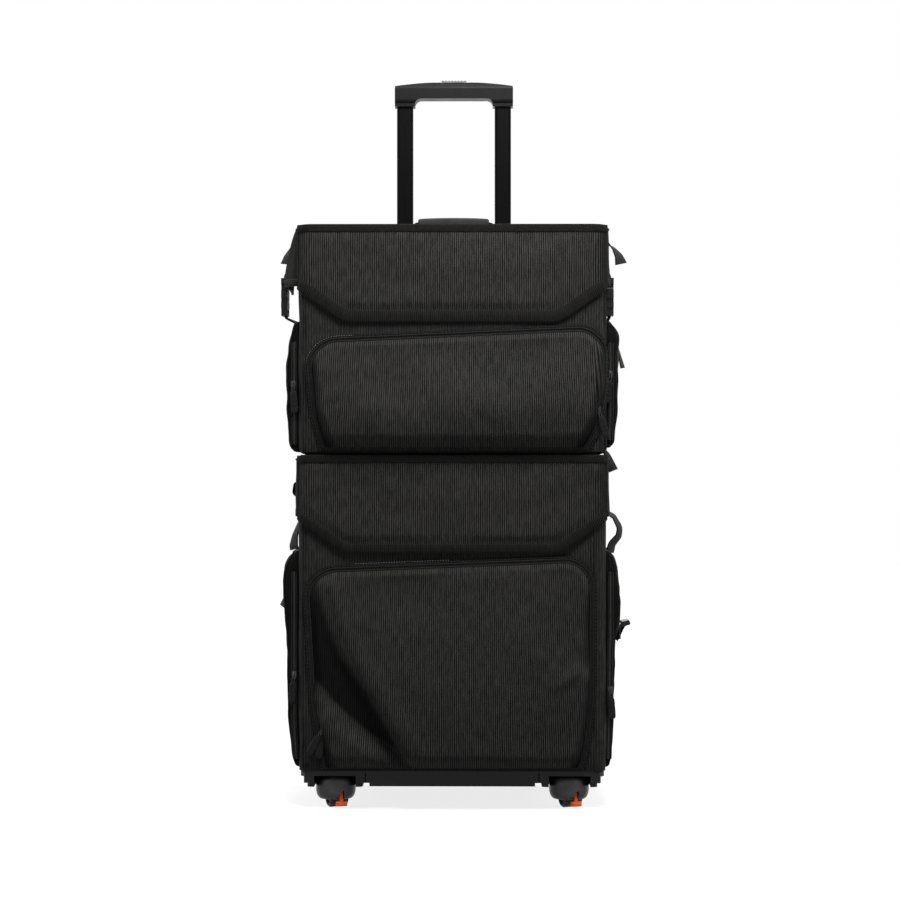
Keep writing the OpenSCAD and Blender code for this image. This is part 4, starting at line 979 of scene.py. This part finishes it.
def slider(node, out, tilt=0.0, twin=False, shift=0.0):
    """Metal zip slider with a moulded rubber puller that hangs from its bridge."""
    low, high = (np.array(c, float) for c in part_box(node))
    out = np.array(out, float)
    side = np.cross(out, [0, 0, 1.])
    body = node + "_body"
    middle = (low + high) / 2
    foot = np.array([middle[0] + shift, high[1], high[2] - .005])
    # slider: a wedge-shaped top plate over a waisted base
    rows = []
    for d, w, l in ((.0002, .0058, .0098), (.0011, .0060, .0100), (.0013, .0044, .0076),
                    (.0024, .0044, .0076), (.0026, .0056, .0092), (.0033, .0054, .0090),
                    (.0036, .0034, .0070)):
        a = np.arange(20) * 2 * math.pi / 20
        ca, sa = np.cos(a), np.sin(a)
        x = np.sign(ca) * np.abs(ca) ** .6 * w / 2 * (1 + .25 * sa)
        z = np.sign(sa) * np.abs(sa) ** .6 * l / 2
        rows.append(foot + out * d + side * x[:, None] + np.array([0, 0, 1.]) * z[:, None])
    rows = np.array(rows)
    n = rows.shape[1]
    grid(node + "_metal", rows, SLIDER, body, True, replaces=[node],
         ends=[list(range(n)), list(range(7 * n - 1, 6 * n - 1, -1))], sharp=30)
    # bridge over the plate, and the wire eye of the puller
    a = np.linspace(0, math.pi, 9)
    arch = np.stack([np.cos(a) * .0032, np.sin(a) * .0018], 1)
    line = foot + np.array([0, 0, 1.]) * arch[:, :1] + out * (.0036 + arch[:, 1:])
    sweep(node + "_bridge", line, circle(.0006, 8), side, SLIDER, body)
    for k in ((-1, 1) if twin else (0,)):
        swing = math.radians(tilt + 11 * k)
        down = -np.array([0, 0, 1.]) * math.cos(swing) + side * math.sin(swing)
        across = np.cross(down, out)
        top = foot + out * (.0050 + .0008 * k) + down * .0012
        eye = np.linspace(0, 2 * math.pi, 21)
        line = (top + down * (.0042 - .0040 * np.cos(eye))[:, None]
                + across * (.0016 * np.sin(eye))[:, None])
        sweep(f"{node}_eye_{k + 1}", line, circle(.00055, 7), out, SLIDER, body)
        tag = []
        for t, w, d in ((0, .0030, .0012), (.03, .0052, .0018), (.10, .0076, .0023),
                        (.22, .0084, .0025), (.30, .0084, .0020), (.34, .0084, .0020),
                        (.38, .0086, .0025), (.46, .0086, .0025), (.50, .0088, .0020),
                        (.54, .0088, .0020), (.58, .0088, .0025), (.66, .0090, .0025),
                        (.70, .0090, .0020), (.74, .0090, .0020), (.78, .0090, .0025),
                        (.90, .0088, .0025), (.96, .0074, .0022), (1, .0044, .0014)):
            a = np.arange(20) * 2 * math.pi / 20
            ca, sa = np.cos(a), np.sin(a)
            x = np.sign(ca) * np.abs(ca) ** .5 * w / 2
            y = np.sign(sa) * np.abs(sa) ** .7 * d / 2
            tag.append(top + down * (.0068 + .0265 * t) + across * x[:, None] + out * y[:, None])
        tag = np.array(tag)
        m = len(tag)
        grid(f"{node}_puller_{k + 1}", tag, PULLER, body, True, sharp=40,
             ends=[list(range(n)), list(range(m * n - 1, (m - 1) * n - 1, -1))])


for node, tilt, twin, shift in (
        ("slider_upper_left", -4, False, -.0012), ("slider_upper_right", 9, False, 0),
        ("slider_lower_left", 5, False, 0), ("slider_lower_right", -3, False, 0),
        ("slider_upper_front", -16, False, .0075), ("slider_lower_front", 18, True, .009)):
    slider(node, FRONT_OUT, tilt, twin, shift)


# Straps and handles

STRAP_Y, STRAP_W = -.0295, .025


def webbing(name, points, body, y=STRAP_Y, w=STRAP_W, t=.0018, radii=None, look=None,
            turn=(0, 0), **more):
    """Band of webbing through points (x, z), with its width along Y or turned from it."""
    flat = rounded(points, radii or [.004] * (len(points) - 2), .0015)
    line = np.column_stack([flat[:, 0], np.full(len(flat), y), flat[:, 1]])
    way = unit(np.gradient(line, axis=0))
    out = unit(np.cross(way, [0, 1, 0]))
    a = np.radians(np.linspace(*turn, len(line)))[:, None]
    out = out * np.cos(a) + np.cross(way, out) * np.sin(a)
    return sweep(name, line, flat_band(w, t), out, look or WEBBING, body, **more)


def skirt_face(s, z):
    """Outer face of the upper lid's skirt at a height."""
    flare = UPPER_FLARE if s < 0 else 0
    return s * (max(skirt_x((UPPER_TOP - .0014 - z) / .0715, flare), .1862) + .0014)


BUCKLE_X = {-1: -.2066, 1: .1933}

for s, side in ((-1, "left"), (1, "right")):
    bx = BUCKLE_X[s]
    za, zb = .686, .650
    xa, xb = skirt_face(s, za) + s * .0012, skirt_face(s, zb) + s * .0012
    webbing(f"lid_strap_{side}", [(xa, za), (xb, zb), (bx, .6445), (bx, .628)], "top_lid",
            radii=[.004, .003], replaces=["upper_lid_straps"] if s < 0 else [])
    reach = .0105 if s < 0 else .0175
    webbing(f"lid_strap_tail_{side}", [(xa + s * .0012, za - .001), (xa + s * .5 * reach, .6785),
                                       (xa + s * .85 * reach, .6690), (xa + s * reach, .6600)],
            "top_lid", radii=[.006, .012], turn=(0, s * 38))
    webbing(f"plug_strap_{side}", [(s * .1862, .576), (s * .1866, .5850),
                                   (bx - s * .001, .5935), (bx - s * .001, .606)], "upper_bag",
            radii=[.004, .003], turn=(s * 10, 0), replaces=["upper_straps"] if s < 0 else [])
webbing("corner_tail", [(.1830, .4300), (.1870, .4250), (.1945, .4060)], "upper_bag",
        y=FRONT + .0180, w=.013, radii=[.012], turn=(20, 62))
webbing("left_strap_band", [(-.1866, .352), (-.1885, .345), (-.1945, .325), (-.1962, .3125),
                             (-.1950, .3085)], "trolley", radii=[.01, .01, .004],
        turn=(0, -30), replaces=["lower_strap_left"])
webbing("right_strap_band", [(.1862, .350), (.191, .3535), (.1985, .349), (.2056, .335),
                              (.2040, .325), (.196, .3155), (.1930, .3050)], "trolley",
        radii=[.003, .006, .010, .006, .008], turn=(8, 26), replaces=["lower_strap_right"])
webbing("lower_tab_left", [(-.2062, .262), (-.2066, .250), (-.2108, .238)], "trolley",
        y=-.0235, radii=[.01], turn=(0, -16))
webbing("upper_tab_right", [(.2012, .574), (.2035, .556), (.2095, .532)], "upper_bag",
        y=-.0235, radii=[.02], turn=(0, 14))
webbing("buckle_strap_right", [(.1985, .199), (.2040, .2070), (.2095, .2150), (.2140, .2180)],
        "trolley", radii=[.006, .006], turn=(20, 0))
webbing("lid_loop_left", [(-.1880, .3925), (-.1945, .3890), (-.1955, .3780), (-.1880, .3725)],
        "middle_lid", w=.012, radii=[.003, .003], turn=(10, 20))


def carry_handle():
    """Foam grip on webbing that floats in its two end brackets."""
    y, low, high = .0725, .7053, .7190
    w = .0250
    ends = [(-.078, low), (-.0605, low), (-.048, high), (.048, high), (.0605, low), (.078, low)]
    webbing("carry_webbing", ends, "carry_handle", y=y, w=w, radii=[.006, .008, .008, .006],
            replaces=["carry_strap"])
    x = np.linspace(-1, 1, 41)
    a = np.arange(36) * 2 * math.pi / 36
    ex = 2 / 3.2
    ca, sa = np.cos(a), np.sin(a)
    oval = np.stack([np.sign(ca) * np.abs(ca) ** ex * .0155, np.sign(sa) * np.abs(sa) ** ex * .0070],
                    1)
    rows = []
    for k in x:
        swell = 1 - .10 * abs(k) ** 3
        close = (1 - smooth(abs(k), .965, 1.0) * .16)
        rows.append(np.column_stack([np.full(36, k * .0450), y + oval[:, 0] * close * swell,
                                     high + oval[:, 1] * close * swell]))
    points = np.array(rows)
    points[..., 2] -= .0006 * np.abs(points[..., 0] / .045) ** 2
    ends = [list(range(35, -1, -1)), list(range(40 * 36, 41 * 36))]
    grip = grid("carry_grip_foam", points, FOAM, "carry_handle", True, replaces=["carry_grip"],
                ends=ends)


def sleeve():
    """Cloth sleeve on the upper bag's back that slips over the handle."""
    x1, y0, y1, r = .0990, UPPER_BACK - .001, .1378, .006
    plan = rounded([(-x1 - .012, y0 + .0015), (-x1, y0 + .0015), (-x1, y1), (x1, y1),
                    (x1, y0 + .0015), (x1 + .012, y0 + .0015)], [.002, r, r, .002], .0025)
    z = np.linspace(.480, .686, 52)[:, None]
    x = np.broadcast_to(plan[:, 0], (52, len(plan)))
    y = np.broadcast_to(plan[:, 1], (52, len(plan)))
    behind = smooth(y, y0 + .01, y1 - .001)
    sag = behind * (-.0014 * np.cos((z - .583) * 15) + .0006 * ripple(x, z + 0 * x, 151, .06))
    points = np.stack([x, y + sag, np.broadcast_to(z, x.shape)], -1)
    ob = grid("trolley_sleeve_cloth", points, NYLON, "upper_bag", replaces=["trolley_sleeve"])
    thick = ob.modifiers.new("thickness", "SOLIDIFY")
    thick.thickness = .0024
    thick.offset = 0
    for k, row in (("low", 0), ("high", -1)):
        line = points[row, 4:-4]
        out = np.array([0, 0, 1.0 if row else -1.0])
        sweep(f"sleeve_binding_{k}", line, [(-.0022, 0), (-.0016, .0012), (.0016, .0012),
                                            (.0022, 0), (.0022, -.009), (-.0022, -.009)],
              out, PLAIN, "upper_bag")


carry_handle()
sleeve()


# Finish of the CAD nodes

FINISH = {
    "base_tray": BLACK, "caster_mounts": BLACK, "tube_foot": BLACK, "handle_bezel": BLACK,
    "lower_tube_fittings": BLACK, "upper_tube_plugs": BLACK, "grip_body": GRIP,
    "grip_cover": GRIP, "carry_brackets": BLACK, "outer_tubes": BARE_METAL,
    "lower_tube": DARK_METAL, "upper_tube": DARK_METAL, "grip_screws": STEEL,
    "lock_rods": STEEL, "release_button": GREY, "upper_buckle_sockets": BUCKLE,
    "upper_buckle_plugs": BUCKLE, "lower_buckle_right": BUCKLE, "lower_liner": LINING,
    "upper_liner": LINING,
}
for name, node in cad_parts.items():
    if name.startswith("caster_hood"):
        FINISH[name] = HOOD
    elif name.startswith("caster_wheels"):
        FINISH[name] = RUBBER
    elif name.startswith("caster_brake"):
        FINISH[name] = ORANGE
for name, look in FINISH.items():
    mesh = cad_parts[name].data
    mesh.materials.clear()
    mesh.materials.append(look.mat)


# Studio

def shader(tree, kind, **inputs):
    n = tree.nodes.new("ShaderNode" + kind)
    for key, value in inputs.items():
        key = int(key[1:]) if key[0] == "i" and key[1:].isdigit() else key
        if isinstance(value, bpy.types.NodeSocket):
            tree.links.new(value, n.inputs[key])
        else:
            n.inputs[key].default_value = value
    return n


def seen_directly(tree):
    """1 for camera, glossy and transmitted rays, 0 for light that spreads."""
    rays = shader(tree, "LightPath").outputs
    total = rays["Is Camera Ray"]
    for kind in ("Is Glossy Ray", "Is Transmission Ray"):
        both = shader(tree, "Math", i0=total, i1=rays[kind])
        both.operation = "MAXIMUM"
        total = both.outputs[0]
    return total


def studio():
    """Pale floor and world, soft lamps in front, above and behind, and the camera."""
    scene = bpy.context.scene
    mat = bpy.data.materials.new("floor")
    mat.use_nodes = True
    tree = mat.node_tree
    tree.nodes.clear()
    shown = shader(tree, "AddShader",
                   i0=shader(tree, "BsdfDiffuse", Color=(.22, .22, .22, 1)).outputs[0],
                   i1=shader(tree, "Emission", Color=(1, 1, 1, 1), Strength=.81).outputs[0])
    plain = shader(tree, "BsdfDiffuse", Color=(.30, .30, .30, 1))
    mixed = shader(tree, "MixShader", i0=seen_directly(tree), i1=plain.outputs[0],
                   i2=shown.outputs[0])
    shader(tree, "OutputMaterial", Surface=mixed.outputs[0])
    me = bpy.data.meshes.new("floor")
    me.from_pydata([(-6, -6, 0), (6, -6, 0), (6, 6, 0), (-6, 6, 0)], [], [(0, 1, 2, 3)])
    me.materials.append(mat)
    floor = bpy.data.objects.new("floor", me)
    scene.collection.objects.link(floor)

    world = bpy.data.worlds.new("studio")
    scene.world = world
    world.use_nodes = True
    tree = world.node_tree
    tree.nodes.clear()
    room = shader(tree, "Background", Color=(.97, .98, 1, 1), Strength=.06)
    white = shader(tree, "Background", Color=(1, 1, 1, 1), Strength=1.0)
    mixed = shader(tree, "MixShader", i0=seen_directly(tree), i1=room.outputs[0],
                   i2=white.outputs[0])
    shader(tree, "OutputWorld", Surface=mixed.outputs[0])

    # turned from the front towards the right, raised, spread, strength
    for name, turned, raised, spread, strength in (("key", 6, 66, 12, 1.20),
                                                   ("fill", -8, 6, 40, .10),
                                                   ("left", -112, 30, 30, 2.2),
                                                   ("right", 112, 30, 30, 2.2),
                                                   ("back", 180, 34, 30, 1.8)):
        light = bpy.data.lights.new(name, "SUN")
        light.energy = strength
        light.angle = math.radians(spread)
        ob = bpy.data.objects.new(name, light)
        scene.collection.objects.link(ob)
        ob.rotation_euler = (math.radians(90 - raised), 0, math.radians(turned))

    light = bpy.data.lights.new("near", "AREA")
    light.shape = "RECTANGLE"
    light.size, light.size_y = .55, .40
    light.energy = 10.5
    ob = bpy.data.objects.new("near", light)
    scene.collection.objects.link(ob)
    ob.location = (.14, -.63, 1.25)
    ob.rotation_euler = (math.radians(44), 0, math.radians(10))

    camera = bpy.data.cameras.new("camera")
    camera.lens = 100
    camera.sensor_width = 36
    ob = bpy.data.objects.new("camera", camera)
    ob.location = (.031, -3.110, .431)
    ob.rotation_euler = (math.pi / 2, 0, .0112)
    scene.collection.objects.link(ob)
    scene.camera = ob
    scene.view_settings.view_transform = "Standard"


studio()
